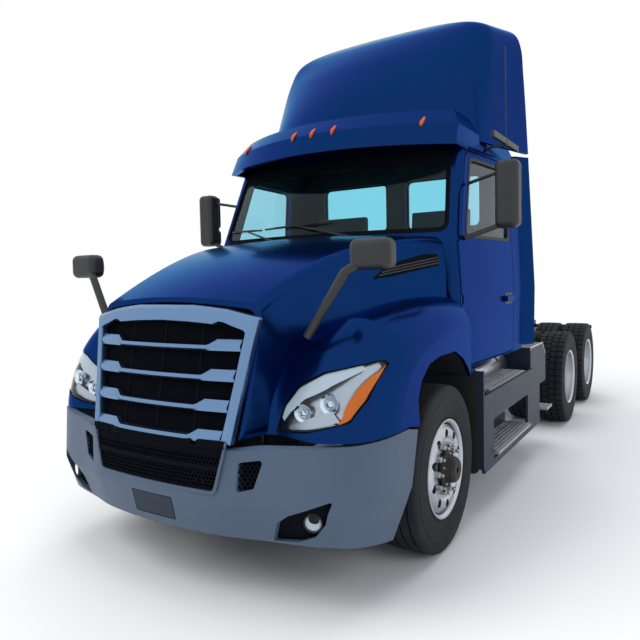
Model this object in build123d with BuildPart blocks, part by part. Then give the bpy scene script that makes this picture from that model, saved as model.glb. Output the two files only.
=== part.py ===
"""Semi truck tractor unit: a day cab with a roof fairing, a hood that tilts forward,
hinged doors, steered front wheels, two driven axles with twin wheels and a fifth wheel.

Frame: millimetres, +Z up from the ground, the front of the truck faces -Y, its left side
is +X.  Lengths along the truck are stations, measured back from the front of the bumper.
"""

import os
from math import cos, hypot, radians, sin

from build123d import *

os.makedirs("parts", exist_ok=True)

# ---------------------------------------------------------------- driving dimensions
OVERALL = 7050.0  # bumper front to frame end
FRONT_AXLE = 1285.0  # station of the steered axle
WHEELBASE = 4470.0  # steered axle to the middle of the bogie
BOGIE_SPREAD = 1320.0  # between the two driven axles

TYRE_DIAMETER = 1012.0
TYRE_WIDTH = 290.0
RIM_DIAMETER = 600.0
FRONT_TRACK_HALF = 1030.0
DUAL_HALF = 920.0  # middle of a pair of twin wheels
DUAL_SPACING = 340.0
KINGPIN_HALF = 930.0
KINGPIN_RADIUS = 24.0

RAIL_TOP = 1000.0
RAIL_HEIGHT = 270.0
RAIL_FLANGE = 90.0
RAIL_WEB = 9.0
RAIL_OUTER_HALF = 430.0
RAIL_FRONT = 470.0

CAB_REAR = 3200.0
CAB_WALL = 60.0
CAB_FLOOR_THICK = 110.0
CAB_ROOF_THICK = 50.0
PILLAR_RADIUS = 70.0
GLASS_DEPTH = 14.0
GLASS_THICK = 8.0
DOOR_GAP = 9.0

HOOD_SKIN = 25.0
HOOD_BOTTOM = 862.0
HOOD_GAP = 14.0
FENDER_HALF = 1172.0
LINER_THICK = 8.0

GRILLE_RAKE = 0.19  # station gained for each unit of height
GRILLE_SWEEP = 62.0  # how far the corners stand behind the middle
GRILLE_DEPTH = 55.0

BUMPER_WALL = 35.0
BUMPER_TOP = 838.0  # of its middle, under the grille
HINGE_STATION = 62.0  # of the hood's hinge
HINGE_Z = 690.0
HINGE_PIN_RADIUS = 10.0
PIN_CLEARANCE = 0.9
SEAT_GAP = 0.3  # between pieces that seat on each other

DOOR_AXIS = (1072.0, 1858.0)  # x, station of the left door's hinge pins
DOOR_HINGE_Z = (1210.0, 1510.0)
DOOR_HINGE_HEIGHT = 60.0

FIFTH_WHEEL_TOP = 1235.0
FIFTH_PLATE_THICK = 40.0
FIFTH_PIVOT_Z = 1120.0
KINGPIN_BORE = 51.5

# ---------------------------------------------------------------- derived places
BOGIE = FRONT_AXLE + WHEELBASE
DRIVE_STATIONS = {"forward": BOGIE - BOGIE_SPREAD / 2, "rear": BOGIE + BOGIE_SPREAD / 2}
AXLE_Z = TYRE_DIAMETER / 2
RAIL_BOTTOM = RAIL_TOP - RAIL_HEIGHT
RAIL_END = OVERALL
FIFTH_STATION = BOGIE - 60.0


def y_at(station):
    """Y of a station, with the origin under the middle of the truck."""
    return station - OVERALL / 2


# ---------------------------------------------------------------- prisms used as tools
def side_prism(outline, x_from, x_to, corner=0.0, grow=0.0):
    """A prism along X over an outline of (station, z) points."""
    with BuildPart() as prism:
        with BuildSketch(Plane.YZ.offset(x_from)) as profile:
            with BuildLine():
                Polyline([(y_at(s), z) for s, z in outline], close=True)
            make_face()
            if corner:
                fillet(profile.vertices(), corner)
            if grow:
                offset(amount=grow, mode=Mode.REPLACE, kind=Kind.INTERSECTION)
        extrude(amount=x_to - x_from)
    return prism.part


def front_prism(outline, s_from, s_to, corner=0.0, grow=0.0):
    """A prism along Y over an outline of (x, z) points."""
    with BuildPart() as prism:
        with BuildSketch(Plane.XZ.offset(-y_at(s_to))) as profile:
            with BuildLine():
                Polyline([(x, z) for x, z in outline], close=True)
            make_face()
            if corner:
                fillet(profile.vertices(), corner)
            if grow:
                offset(amount=grow, mode=Mode.REPLACE, kind=Kind.INTERSECTION)
        extrude(amount=s_to - s_from)
    return prism.part


def rectangle(low_a, low_b, high_a, high_b):
    """The four corners of a rectangle, in order."""
    return [(low_a, low_b), (high_a, low_b), (high_a, high_b), (low_a, high_b)]


def mirrored(outline):
    """A half outline of (x, z) points, from bottom to top, closed over to the other side."""
    return outline + [(-x, z) for x, z in reversed(outline)]


def export(label, shape):
    """Label a finished piece and write its STEP file."""
    shape.label = label
    export_step(shape, f"parts/{label}.step")


# ---------------------------------------------------------------- cab shell and doors
# columns: z, station of the front's middle, station of its corners, half width at the
# corners, half width at the rear
CAB_ROWS = [
    (1030.0, 1750.0, 1800.0, 1080.0, 1150.0),
    (1550.0, 1730.0, 1805.0, 1078.0, 1160.0),
    (1940.0, 1665.0, 1830.0, 1055.0, 1145.0),
    (2620.0, 1915.0, 2120.0, 1005.0, 1105.0),
    (2760.0, 2020.0, 2210.0, 930.0, 1040.0),
]


def cab_solid(inset, floor=0.0, roof=0.0):
    """The cab's outer form, or the form that lies inset within it."""
    last = len(CAB_ROWS) - 1
    with BuildPart() as solid:
        for index, (z, middle, corner, front_half, rear_half) in enumerate(CAB_ROWS):
            level = z + (floor if index == 0 else 0) - (roof if index == last else 0)
            side = front_half - inset
            rear_y = y_at(CAB_REAR - inset)
            with BuildSketch(Plane.XY.offset(level)) as outline:
                with BuildLine():
                    front = ThreePointArc(
                        (-side, y_at(corner + inset)),
                        (0, y_at(middle + inset)),
                        (side, y_at(corner + inset)),
                    )
                    Polyline(
                        front @ 1,
                        (rear_half - inset, rear_y),
                        (inset - rear_half, rear_y),
                        front @ 0,
                    )
                make_face()
                fillet(outline.vertices().group_by(Axis.Y)[0], PILLAR_RADIUS)
        loft(ruled=True)
    return solid.part


DOOR_OUTLINE = [  # (station, z), the left door's edge seen from the side
    (1850.0, 1045.0),
    (2960.0, 1045.0),
    (2960.0, 2580.0),
    (2190.0, 2580.0),
    (2130.0, 2532.0),
    (1910.0, 1960.0),
    (1850.0, 1900.0),
]
DOOR_INSIDE = [  # (x, z), how far in the left door reaches, seen from the front
    (1000.0, 1000.0),
    (1003.0, 1560.0),
    (979.0, 1940.0),
    (926.0, 2640.0),
    (1400.0, 2640.0),
    (1400.0, 1000.0),
]
DOOR_WINDOW = [
    (1990.0, 1955.0),
    (2890.0, 1955.0),
    (2890.0, 2530.0),
    (2215.0, 2530.0),
]
WINDSHIELD = mirrored([(990.0, 1985.0), (930.0, 2575.0)])
REAR_WINDOW = rectangle(100.0, 2110.0, 800.0, 2570.0)
SIDE_REACH = 1500.0  # past everything on a side
MIDDLE_REACH = 700.0  # where the side cuts start

cab_outer = cab_solid(0)
cab_inner = cab_solid(CAB_WALL, CAB_FLOOR_THICK, CAB_ROOF_THICK)
glass_outer = cab_solid(GLASS_DEPTH)
glass_inner = cab_solid(GLASS_DEPTH + GLASS_THICK)
door_back = cab_solid(CAB_WALL, -60, CAB_ROOF_THICK)
door_room = cab_solid(CAB_WALL + DOOR_GAP, -80, CAB_ROOF_THICK)
door_inside = front_prism(DOOR_INSIDE, 1700, 3100)
door_inside_room = front_prism(DOOR_INSIDE, 1700, 3100, grow=DOOR_GAP)
with BuildPart() as left_opening:
    add(side_prism(DOOR_OUTLINE, MIDDLE_REACH, SIDE_REACH, grow=DOOR_GAP))
    add(door_inside_room, mode=Mode.INTERSECT)
    add(door_room, mode=Mode.SUBTRACT)
with BuildPart() as left_panel:
    add(side_prism(DOOR_OUTLINE, MIDDLE_REACH, SIDE_REACH))
    add(door_inside, mode=Mode.INTERSECT)
    add(door_back, mode=Mode.SUBTRACT)
left_zone = left_opening.part
left_panel_zone = left_panel.part
door_window = side_prism(DOOR_WINDOW, MIDDLE_REACH, SIDE_REACH, corner=60)
windshield_zone = front_prism(WINDSHIELD, 1500, 2300, corner=70)
rear_window_zone = front_prism(REAR_WINDOW, 3000, 3400, corner=60)
rear_window_right = mirror(rear_window_zone, about=Plane.YZ)

HINGE_NOTCH = (32.0, 30.0)  # how far a notch reaches inwards, and back from the edge
HINGE_ARM = 14.0
DOOR_PIN_RADIUS = 6.0
DOOR_EDGE = 1850.0

with BuildPart() as door_notches:
    for z in DOOR_HINGE_Z:
        with Locations((DOOR_AXIS[0] - HINGE_NOTCH[0], y_at(DOOR_EDGE - 1), z)):
            Box(
                SIDE_REACH - DOOR_AXIS[0],
                HINGE_NOTCH[1] + 1,
                DOOR_HINGE_HEIGHT,
                align=(Align.MIN, Align.MIN, Align.CENTER),
            )
        with Locations((DOOR_AXIS[0], y_at(DOOR_AXIS[1]), z)):
            Cylinder(DOOR_PIN_RADIUS + PIN_CLEARANCE, DOOR_HINGE_HEIGHT + 42)

with BuildPart() as door_hinges:
    for z in DOOR_HINGE_Z:
        with Locations((DOOR_AXIS[0], y_at(DOOR_AXIS[1]), z)):
            Cylinder(DOOR_PIN_RADIUS, DOOR_HINGE_HEIGHT + 40)
            Cylinder(HINGE_ARM / 2, DOOR_HINGE_HEIGHT - 14)
        with Locations((DOOR_AXIS[0], y_at(DOOR_AXIS[1]), z)):
            Box(
                HINGE_ARM,
                DOOR_AXIS[1] - DOOR_EDGE + DOOR_GAP + 6,
                DOOR_HINGE_HEIGHT - 14,
                align=(Align.CENTER, Align.MAX, Align.CENTER),
            )

with BuildPart() as cab_shell:
    add(cab_outer)
    add(cab_inner, mode=Mode.SUBTRACT)
    add(left_zone, mode=Mode.SUBTRACT)
    add(mirror(left_zone, about=Plane.YZ), mode=Mode.SUBTRACT)
    add(windshield_zone, mode=Mode.SUBTRACT)
    add(rear_window_zone, mode=Mode.SUBTRACT)
    add(rear_window_right, mode=Mode.SUBTRACT)
    add(door_hinges.part)
    add(mirror(door_hinges.part, about=Plane.YZ))
export("cab_shell", cab_shell.part)

with BuildPart() as front_glass:
    add(glass_outer)
    add(glass_inner, mode=Mode.SUBTRACT)
    add(windshield_zone, mode=Mode.INTERSECT)
with BuildPart() as rear_glass:
    add(glass_outer)
    add(glass_inner, mode=Mode.SUBTRACT)
    add(rear_window_zone, mode=Mode.INTERSECT)
with BuildPart() as cab_glass:
    add(front_glass.part)
    add(rear_glass.part)
    add(mirror(rear_glass.part, about=Plane.YZ))
export("cab_glass", cab_glass.part)

HANDLE = (2830.0, 1480.0)  # (station, z) of the outside pull
HANDLE_SIZE = (30.0, 210.0, 45.0)
with BuildPart() as left_door:
    add(cab_outer)
    add(left_panel_zone, mode=Mode.INTERSECT)
    add(door_window, mode=Mode.SUBTRACT)
    add(door_notches.part, mode=Mode.SUBTRACT)
    with Locations((1146, y_at(HANDLE[0]), HANDLE[1])):
        Box(*HANDLE_SIZE)
export("left_door", left_door.part)
export("right_door", mirror(left_door.part, about=Plane.YZ))

with BuildPart() as left_window:
    add(glass_outer)
    add(glass_inner, mode=Mode.SUBTRACT)
    add(door_window, mode=Mode.INTERSECT)
export("left_door_glass", left_window.part)
export("right_door_glass", mirror(left_window.part, about=Plane.YZ))

# ---------------------------------------------------------------- door mirrors
MIRROR_MIDDLE = (1350.0, 2020.0, 2220.0)  # x, station, z
MIRROR_SIZE = (160.0, 130.0, 460.0)
MIRROR_ARM_ROOT = (1066.0, 1965.0, 1935.0)
MIRROR_ARM_TOP = (1046.0, 2100.0, 2330.0)
MIRROR_ARM_RADIUS = 17.0


def place(x, station, z):
    """A point in the model's frame from its x, station and z."""
    return (x, y_at(station), z)


def rod(start, end, radius):
    """A straight round bar between two (x, station, z) points."""
    run = Vector(*place(*end)) - Vector(*place(*start))
    with BuildPart() as bar:
        with BuildSketch(Plane(origin=place(*start), z_dir=run)):
            Circle(radius)
        extrude(amount=run.length)
    return bar.part


mirror_middle = place(*MIRROR_MIDDLE)
low_arm = rod(
    MIRROR_ARM_ROOT,
    (MIRROR_MIDDLE[0], MIRROR_MIDDLE[1], MIRROR_MIDDLE[2] - MIRROR_SIZE[2] / 2 + 40),
    MIRROR_ARM_RADIUS,
)
top_arm = rod(
    MIRROR_ARM_TOP,
    (MIRROR_MIDDLE[0], MIRROR_MIDDLE[1], MIRROR_MIDDLE[2] + MIRROR_SIZE[2] / 2 - 60),
    MIRROR_ARM_RADIUS * 0.7,
)
with BuildPart() as left_mirror:
    with Locations(mirror_middle):
        Box(*MIRROR_SIZE)
    fillet(left_mirror.edges(), 42)
    add(low_arm)
    add(top_arm)
    add(cab_outer, mode=Mode.SUBTRACT)
export("left_mirror", left_mirror.part)
export("right_mirror", mirror(left_mirror.part, about=Plane.YZ))

# ---------------------------------------------------------------- hood and fenders
# columns: station, shoulder x, shoulder z, crown z, half width at the bottom
HOOD_ROWS = [
    (20.0, 583.0, 1424.0, 1502.0, 505.0),
    (620.0, 625.0, 1722.0, 1768.0, 790.0),
    (1240.0, 755.0, 1900.0, 1935.0, 1030.0),
    (1860.0, 1000.0, 1935.0, 1990.0, 1110.0),
]
# columns: x, station of the front edge, the front's middle, the crest's start, the
# crest's middle, all as (station, z), and the crest's height at the rear
FENDER_ROWS = [
    (540.0, 200.0, (215.0, 1130.0), (430.0, 1385.0), (1000.0, 1490.0), 1500.0),
    (850.0, 225.0, (310.0, 1190.0), (577.0, 1442.0), (1000.0, 1505.0), 1515.0),
    (1060.0, 275.0, (375.0, 1170.0), (660.0, 1425.0), (1080.0, 1492.0), 1500.0),
    (1138.0, 405.0, (500.0, 1105.0), (770.0, 1320.0), (1130.0, 1402.0), 1418.0),
    (FENDER_HALF, 640.0, (690.0, 1060.0), (870.0, 1225.0), (1160.0, 1300.0), 1310.0),
]
FENDER_REAR = 1860.0
HOOD_OPEN = 60.0  # how far the cavity runs below the bottom edge


def hood_solid(inset, drop=0.0):
    """The raised middle of the hood, or the form that lies inset within it."""
    with BuildPart() as solid:
        for station, shoulder_x, shoulder_z, crown_z, base_half in HOOD_ROWS:
            with BuildSketch(Plane.XZ.offset(-y_at(station))) as section:
                with BuildLine():
                    crown = ThreePointArc(
                        (inset - shoulder_x, shoulder_z - inset),
                        (0, crown_z - inset),
                        (shoulder_x - inset, shoulder_z - inset),
                    )
                    Polyline(
                        crown @ 1,
                        (base_half - inset, HOOD_BOTTOM - drop),
                        (inset - base_half, HOOD_BOTTOM - drop),
                        crown @ 0,
                    )
                make_face()
                fillet(section.vertices().group_by(Axis.Z)[-1], 70)
        loft()
    return solid.part


def fender_solid(inset, drop=0.0):
    """The left fender from the hood's middle out, or the form inset within it."""
    with BuildPart() as solid:
        for x, front, middle, crest, top, rear_z in FENDER_ROWS:
            plane_x = x - inset if x == FENDER_HALF else x
            rear_y = y_at(FENDER_REAR)
            with BuildSketch(Plane.YZ.offset(plane_x)):
                with BuildLine():
                    nose = ThreePointArc(
                        (y_at(front + inset), HOOD_BOTTOM - drop),
                        (y_at(middle[0] + inset), middle[1] - inset / 2),
                        (y_at(crest[0] + inset / 2), crest[1] - inset),
                    )
                    back = ThreePointArc(
                        nose @ 1,
                        (y_at(top[0]), top[1] - inset),
                        (rear_y, rear_z - inset),
                    )
                    Polyline(back @ 1, (rear_y, HOOD_BOTTOM - drop), nose @ 0)
                make_face()
        loft()
    return solid.part


ARCH = [  # (station, z), the wheel opening in the fender's side
    (874.0, 780.0),
    (874.0, 846.0),
    (851.0, 1005.0),
    (900.0, 1100.0),
    (1020.0, 1180.0),
    (1187.0, 1204.0),
    (1446.0, 1204.0),
    (1600.0, 1140.0),
    (1700.0, 1060.0),
    (1745.0, 1000.0),
    (1990.0, 1000.0),
    (1990.0, 780.0),
]
REAR_CUT = [  # (station, z), behind the hood's rear edge on the sides
    (1752.0, 700.0),
    (1752.0, 1560.0),
    (1800.0, 1780.0),
    (1845.0, 1950.0),
    (1845.0, 2200.0),
    (2300.0, 2200.0),
    (2300.0, 700.0),
]
BUMPER_EDGE = [  # (station, z), the bumper's top edge with its running gap
    (-100.0, 700.0),
    (-100.0, 860.0),
    (100.0, 860.0),
    (150.0, 876.0),
    (250.0, 889.0),
    (745.0, 882.0),
    (880.0, 850.0),
    (880.0, 700.0),
]
HEADLAMP = [  # (x, z), the left lamp seen from the front
    (655.0, 905.0),
    (850.0, 925.0),
    (1060.0, 985.0),
    (1105.0, 1080.0),
    (1130.0, 1235.0),
    (1115.0, 1262.0),
    (900.0, 1215.0),
    (760.0, 1140.0),
    (690.0, 1040.0),
]
HEADLAMP_DEPTH = 70.0
VENT_SLOTS = [  # (station, z), two slots in each side of the hood
    [(1090.0, 1690.0), (1700.0, 1745.0), (1690.0, 1700.0), (1110.0, 1655.0)],
    [(1130.0, 1765.0), (1730.0, 1825.0), (1715.0, 1775.0), (1130.0, 1720.0)],
]
VENT_DEPTH = 24.0


def grille_slab(front, back):
    """A raked slab between two distances behind the grille's face, curved in plan."""
    low = HOOD_BOTTOM - 200.0
    high = 1800.0
    reach = 760.0
    sweep_at_reach = GRILLE_SWEEP * (reach / 602.0) ** 2
    low_station = GRILLE_RAKE * (low - HOOD_BOTTOM) + 2.0
    with BuildPart() as slab:
        with BuildSketch(Plane.XY.offset(low)):
            with BuildLine():
                face = ThreePointArc(
                    (-reach, y_at(low_station + front + sweep_at_reach)),
                    (0, y_at(low_station + front)),
                    (reach, y_at(low_station + front + sweep_at_reach)),
                )
                rear = ThreePointArc(
                    (reach, y_at(low_station + back + sweep_at_reach)),
                    (0, y_at(low_station + back)),
                    (-reach, y_at(low_station + back + sweep_at_reach)),
                )
                Line(face @ 1, rear @ 0)
                Line(rear @ 1, face @ 0)
            make_face()
        rise = high - low
        extrude(amount=rise * hypot(1, GRILLE_RAKE), dir=(0, GRILLE_RAKE, 1))
    return slab.part


hood_outer = hood_solid(0)
hood_inner = hood_solid(HOOD_SKIN, HOOD_OPEN)
fender_outer = fender_solid(0)
fender_inner = fender_solid(HOOD_SKIN, HOOD_OPEN)
arch_cut = side_prism(ARCH, 500, 1400)
ahead_of_hood = grille_slab(-900, GRILLE_DEPTH)
behind_hood = side_prism(REAR_CUT, -1400, 1400)
cab_clearance = cab_solid(-HOOD_GAP)
above_bumper = side_prism(BUMPER_EDGE, -1400, 1400)
lamp_zone = front_prism(HEADLAMP, 0, 640, corner=12)
lamp_front = fender_solid(4)
lamp_back = fender_solid(HEADLAMP_DEPTH, HOOD_OPEN)
vent_zones = [side_prism(slot, 600, 1200, corner=12) for slot in VENT_SLOTS]
vent_front = hood_solid(3)
vent_back = hood_solid(VENT_DEPTH)

with BuildPart() as left_vents:
    for zone in vent_zones:
        add(zone)
    add(vent_front, mode=Mode.INTERSECT)
    add(vent_back, mode=Mode.SUBTRACT)
    add(fender_outer, mode=Mode.SUBTRACT)
with BuildPart() as hood_vents:
    add(left_vents.part)
    add(mirror(left_vents.part, about=Plane.YZ))
export("hood_vents", hood_vents.part)

with BuildPart() as left_lamp:
    add(lamp_front)
    add(lamp_back, mode=Mode.SUBTRACT)
    add(lamp_zone, mode=Mode.INTERSECT)
with BuildPart() as headlamps:
    add(left_lamp.part)
    add(mirror(left_lamp.part, about=Plane.YZ))
export("headlamps", headlamps.part)

with BuildPart() as hood:
    add(hood_outer)
    add(fender_outer)
    add(mirror(fender_outer, about=Plane.YZ))
    add(hood_inner, mode=Mode.SUBTRACT)
    add(fender_inner, mode=Mode.SUBTRACT)
    add(mirror(fender_inner, about=Plane.YZ), mode=Mode.SUBTRACT)
    add(arch_cut, mode=Mode.SUBTRACT)
    add(mirror(arch_cut, about=Plane.YZ), mode=Mode.SUBTRACT)
    add(ahead_of_hood, mode=Mode.SUBTRACT)
    add(behind_hood, mode=Mode.SUBTRACT)
    add(above_bumper, mode=Mode.SUBTRACT)
    add(cab_clearance, mode=Mode.SUBTRACT)
    add(lamp_zone, mode=Mode.SUBTRACT)
    add(mirror(lamp_zone, about=Plane.YZ), mode=Mode.SUBTRACT)
    add(hood_vents.part, mode=Mode.SUBTRACT)
export("hood", hood.part)

# ---------------------------------------------------------------- inner fenders
arch_grown = side_prism(ARCH, 560, FENDER_HALF - HOOD_SKIN - SEAT_GAP, grow=10 + LINER_THICK)
arch_kept = side_prism(ARCH, 550, 1300, grow=10)
liner_limit = side_prism(rectangle(830.0, HOOD_BOTTOM, 1740.0, 1400.0), 500, 1300)
with BuildPart() as left_liner:
    add(arch_grown)
    add(arch_kept, mode=Mode.SUBTRACT)
    add(liner_limit, mode=Mode.INTERSECT)
with BuildPart() as inner_fenders:
    add(left_liner.part)
    add(mirror(left_liner.part, about=Plane.YZ))
export("inner_fenders", inner_fenders.part)

# ---------------------------------------------------------------- grille
GRILLE_OUTLINE = mirrored([(508.0, HOOD_BOTTOM), (604.0, 1486.0), (420.0, 1528.0), (210.0, 1551.0)])
GRILLE_OPENING = mirrored([(461.0, 889.0), (546.0, 1436.0), (300.0, 1466.0)])
# columns: bottom edge of a slat at its ends, half length of the slat
SLAT_ROWS = [(889.0, 464.0), (1016.0, 484.0), (1166.0, 507.0), (1317.0, 530.0)]
SLAT_THIN = 27.0
SLAT_TAB_HEIGHT = 57.0
SLAT_TAB_LENGTH = 205.0
SLAT_RAMP = 50.0

grille_face = grille_slab(0, GRILLE_DEPTH - SEAT_GAP)
grille_outline = front_prism(GRILLE_OUTLINE, -100, 500, corner=26)
grille_opening = front_prism(GRILLE_OPENING, -150, 550, corner=18)
slat_depth = grille_slab(6, 46)
mesh_depth = grille_slab(50, 58)

with BuildPart() as grille_surround:
    add(grille_face)
    add(grille_outline, mode=Mode.INTERSECT)
    add(grille_opening, mode=Mode.SUBTRACT)
export("grille_surround", grille_surround.part)


def slat_outline(bottom, half):
    """The front view of one slat: thin in its middle, with a raised tab at each end."""
    top = bottom + SLAT_THIN
    tab_top = bottom + SLAT_TAB_HEIGHT
    inner = half - SLAT_TAB_LENGTH
    return mirrored([(half, bottom), (half, tab_top), (inner + SLAT_RAMP, tab_top), (inner, top)])


slat_prisms = [front_prism(slat_outline(z, half), -150, 550) for z, half in SLAT_ROWS]
with BuildPart() as grille_slats:
    for slat in slat_prisms:
        add(slat)
    add(slat_depth, mode=Mode.INTERSECT)
    add(grille_opening, mode=Mode.INTERSECT)
export("grille_slats", grille_slats.part)

with BuildPart() as grille_mesh:
    add(mesh_depth)
    add(grille_opening, mode=Mode.INTERSECT)
export("grille_mesh", grille_mesh.part)

# ---------------------------------------------------------------- hood mirrors
HOOD_MIRROR_MIDDLE = (1090.0, 497.0, 1790.0)
HOOD_MIRROR_SIZE = (225.0, 120.0, 155.0)
HOOD_MIRROR_FOOT = (757.0, 400.0, 1375.0)
HOOD_MIRROR_ELBOW = (960.0, 440.0, 1700.0)
hood_arm_low = rod(HOOD_MIRROR_FOOT, HOOD_MIRROR_ELBOW, 24)
hood_arm_high = rod(HOOD_MIRROR_ELBOW, HOOD_MIRROR_MIDDLE, 24)
with BuildPart() as left_hood_mirror:
    with Locations(place(*HOOD_MIRROR_MIDDLE)):
        Box(*HOOD_MIRROR_SIZE)
    fillet(left_hood_mirror.edges(), 40)
    add(hood_arm_low)
    add(hood_arm_high)
    with Locations(place(*HOOD_MIRROR_ELBOW)):
        Sphere(24)
    add(fender_outer, mode=Mode.SUBTRACT)
    add(hood_outer, mode=Mode.SUBTRACT)
with BuildPart() as hood_mirrors:
    add(left_hood_mirror.part)
    add(mirror(left_hood_mirror.part, about=Plane.YZ))
export("hood_mirrors", hood_mirrors.part)

# ---------------------------------------------------------------- bumper
# columns: z, inset of the whole outline at that height
BUMPER_ROWS = [(300.0, 60.0), (560.0, 0.0), (885.0, 12.0)]
BUMPER_PLAN = [  # (x, station) of the bumper seen from above, from the end of its nose
    (450.0, 36.0),
    (620.0, 86.0),
    (870.0, 156.0),
    (1060.0, 250.0),
    (1146.0, 420.0),
    (FENDER_HALF, 700.0),
]
BUMPER_BACK = 900.0
BUMPER_SIDE = [  # (station, z) of the bumper seen from the side
    (-60.0, 395.0),
    (260.0, 372.0),
    (640.0, 298.0),
    (720.0, 480.0),
    (866.0, 838.0),
    (740.0, 868.0),
    (250.0, 875.0),
    (150.0, 862.0),
    (92.0, BUMPER_TOP),
    (-60.0, BUMPER_TOP),
]
INSERT = mirrored([(418.0, 626.0), (476.0, 812.0)])
INLET = [(537.0, 629.0), (625.0, 655.0), (673.0, 799.0), (549.0, 780.0)]
FOG_POCKET = [
    (690.0, 388.0),
    (822.0, 396.0),
    (905.0, 430.0),
    (965.0, 505.0),
    (1005.0, 622.0),
    (790.0, 535.0),
    (725.0, 488.0),
]
FOG_LAMP = (885.0, 505.0)  # x, z of the round lamp in its pocket
LICENCE_PAD = rectangle(-150.0, 430.0, 150.0, 560.0)
MESH_FRONT = 8.0  # how far the mesh's two faces lie behind the bumper's skin
MESH_BACK = 16.0


def bumper_solid(inset, low=0.0, high=0.0):
    """The bumper's outer form closed at the back, or the form inset within it."""
    last = len(BUMPER_ROWS) - 1
    with BuildPart() as solid:
        for index, (z, lean) in enumerate(BUMPER_ROWS):
            level = z - (low if index == 0 else 0) + (high if index == last else 0)
            shift = inset + lean
            corner = [(x - inset * x / FENDER_HALF - lean, s + shift) for x, s in BUMPER_PLAN]
            back = BUMPER_BACK + (100.0 if inset else 0.0)
            with BuildSketch(Plane.XY.offset(level)):
                with BuildLine():
                    nose = ThreePointArc(
                        (-corner[0][0], y_at(corner[0][1])),
                        (0, y_at(shift)),
                        (corner[0][0], y_at(corner[0][1])),
                    )
                    left = Spline(
                        [nose @ 1] + [(x, y_at(s)) for x, s in corner[1:]],
                        tangents=(nose % 1, (0, 1)),
                    )
                    right = Spline(
                        [nose @ 0] + [(-x, y_at(s)) for x, s in corner[1:]],
                        tangents=(-(nose % 0), (0, 1)),
                    )
                    Polyline(
                        left @ 1,
                        (corner[-1][0], y_at(back)),
                        (-corner[-1][0], y_at(back)),
                        right @ 1,
                    )
                make_face()
        loft(ruled=True)
    return solid.part


bumper_outer = bumper_solid(0)
bumper_inner = bumper_solid(BUMPER_WALL, 20, 20)
bumper_side = side_prism(BUMPER_SIDE, -1300, 1300)
insert_zone = front_prism(INSERT, -100, 300, corner=24)
inlet_zone = front_prism(INLET, -100, 400, corner=14)
fog_zone = front_prism(FOG_POCKET, -100, 560, corner=8)
insert_skin = bumper_solid(MESH_FRONT)
insert_back = bumper_solid(MESH_BACK, 20, 20)
fog_back = bumper_solid(30, 20, 20)
pad_zone = front_prism(LICENCE_PAD, -50, 60, corner=10)
pad_back = bumper_solid(12)
with BuildPart() as licence_pad:
    add(bumper_outer)
    add(pad_back, mode=Mode.SUBTRACT)
    add(pad_zone, mode=Mode.INTERSECT)
with BuildPart() as front_bumper:
    add(bumper_outer)
    add(bumper_inner, mode=Mode.SUBTRACT)
    add(bumper_side, mode=Mode.INTERSECT)
    add(insert_zone, mode=Mode.SUBTRACT)
    for zone in (inlet_zone, fog_zone):
        add(zone, mode=Mode.SUBTRACT)
        add(mirror(zone, about=Plane.YZ), mode=Mode.SUBTRACT)
    add(licence_pad.part, mode=Mode.SUBTRACT)
export("front_bumper", front_bumper.part)

with BuildPart() as bumper_mesh:
    add(insert_zone)
    add(inlet_zone)
    add(mirror(inlet_zone, about=Plane.YZ))
    add(insert_skin, mode=Mode.INTERSECT)
    add(insert_back, mode=Mode.SUBTRACT)
with BuildPart() as bumper_trim:
    add(bumper_mesh.part)
    add(licence_pad.part)
export("bumper_mesh", bumper_trim.part)

# ---------------------------------------------------------------- hood hinges
HINGE_HALF = 300.0
HINGE_ARM_WIDTH = 26.0
HINGE_LUG_THICK = 12.0
HINGE_LUG_RADIUS = 18.0
HINGE_NOSE = 15.0  # how far the arm's blunt end reaches round its pin
HINGE_NOSE_CUT = 7.0
NOSE_STATION = HINGE_STATION - HINGE_NOSE
GOOSENECK = [  # (station, z), an arm that reaches back, up and over the bumper's edge
    (NOSE_STATION, HINGE_Z - HINGE_NOSE + HINGE_NOSE_CUT),
    (NOSE_STATION + HINGE_NOSE_CUT, HINGE_Z - HINGE_NOSE),
    (HINGE_STATION + 162, HINGE_Z - 12),
    (HINGE_STATION + 162, 884.0),
    (70.0, 884.0),
    (70.0, 868.0),
    (HINGE_STATION + 136, 868.0),
    (HINGE_STATION + 136, HINGE_Z + HINGE_NOSE),
    (NOSE_STATION + HINGE_NOSE_CUT, HINGE_Z + HINGE_NOSE),
    (NOSE_STATION, HINGE_Z + HINGE_NOSE - HINGE_NOSE_CUT),
]
hinge_axis = place(HINGE_HALF, HINGE_STATION, HINGE_Z)
arm_low = HINGE_HALF - HINGE_ARM_WIDTH / 2
gooseneck = side_prism(GOOSENECK, arm_low, arm_low + HINGE_ARM_WIDTH)
behind_grille = grille_slab(GRILLE_DEPTH, 400)
with BuildPart() as left_hood_hinge:
    add(gooseneck)
    with BuildSketch(Plane.YZ.offset(arm_low)):
        with Locations((y_at(HINGE_STATION), HINGE_Z)):
            Circle(HINGE_PIN_RADIUS + PIN_CLEARANCE)
    extrude(amount=HINGE_ARM_WIDTH, mode=Mode.SUBTRACT)
    add(behind_grille, mode=Mode.INTERSECT)
with BuildPart() as hood_hinges:
    add(left_hood_hinge.part)
    add(mirror(left_hood_hinge.part, about=Plane.YZ))
export("hood_hinges", hood_hinges.part)

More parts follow.
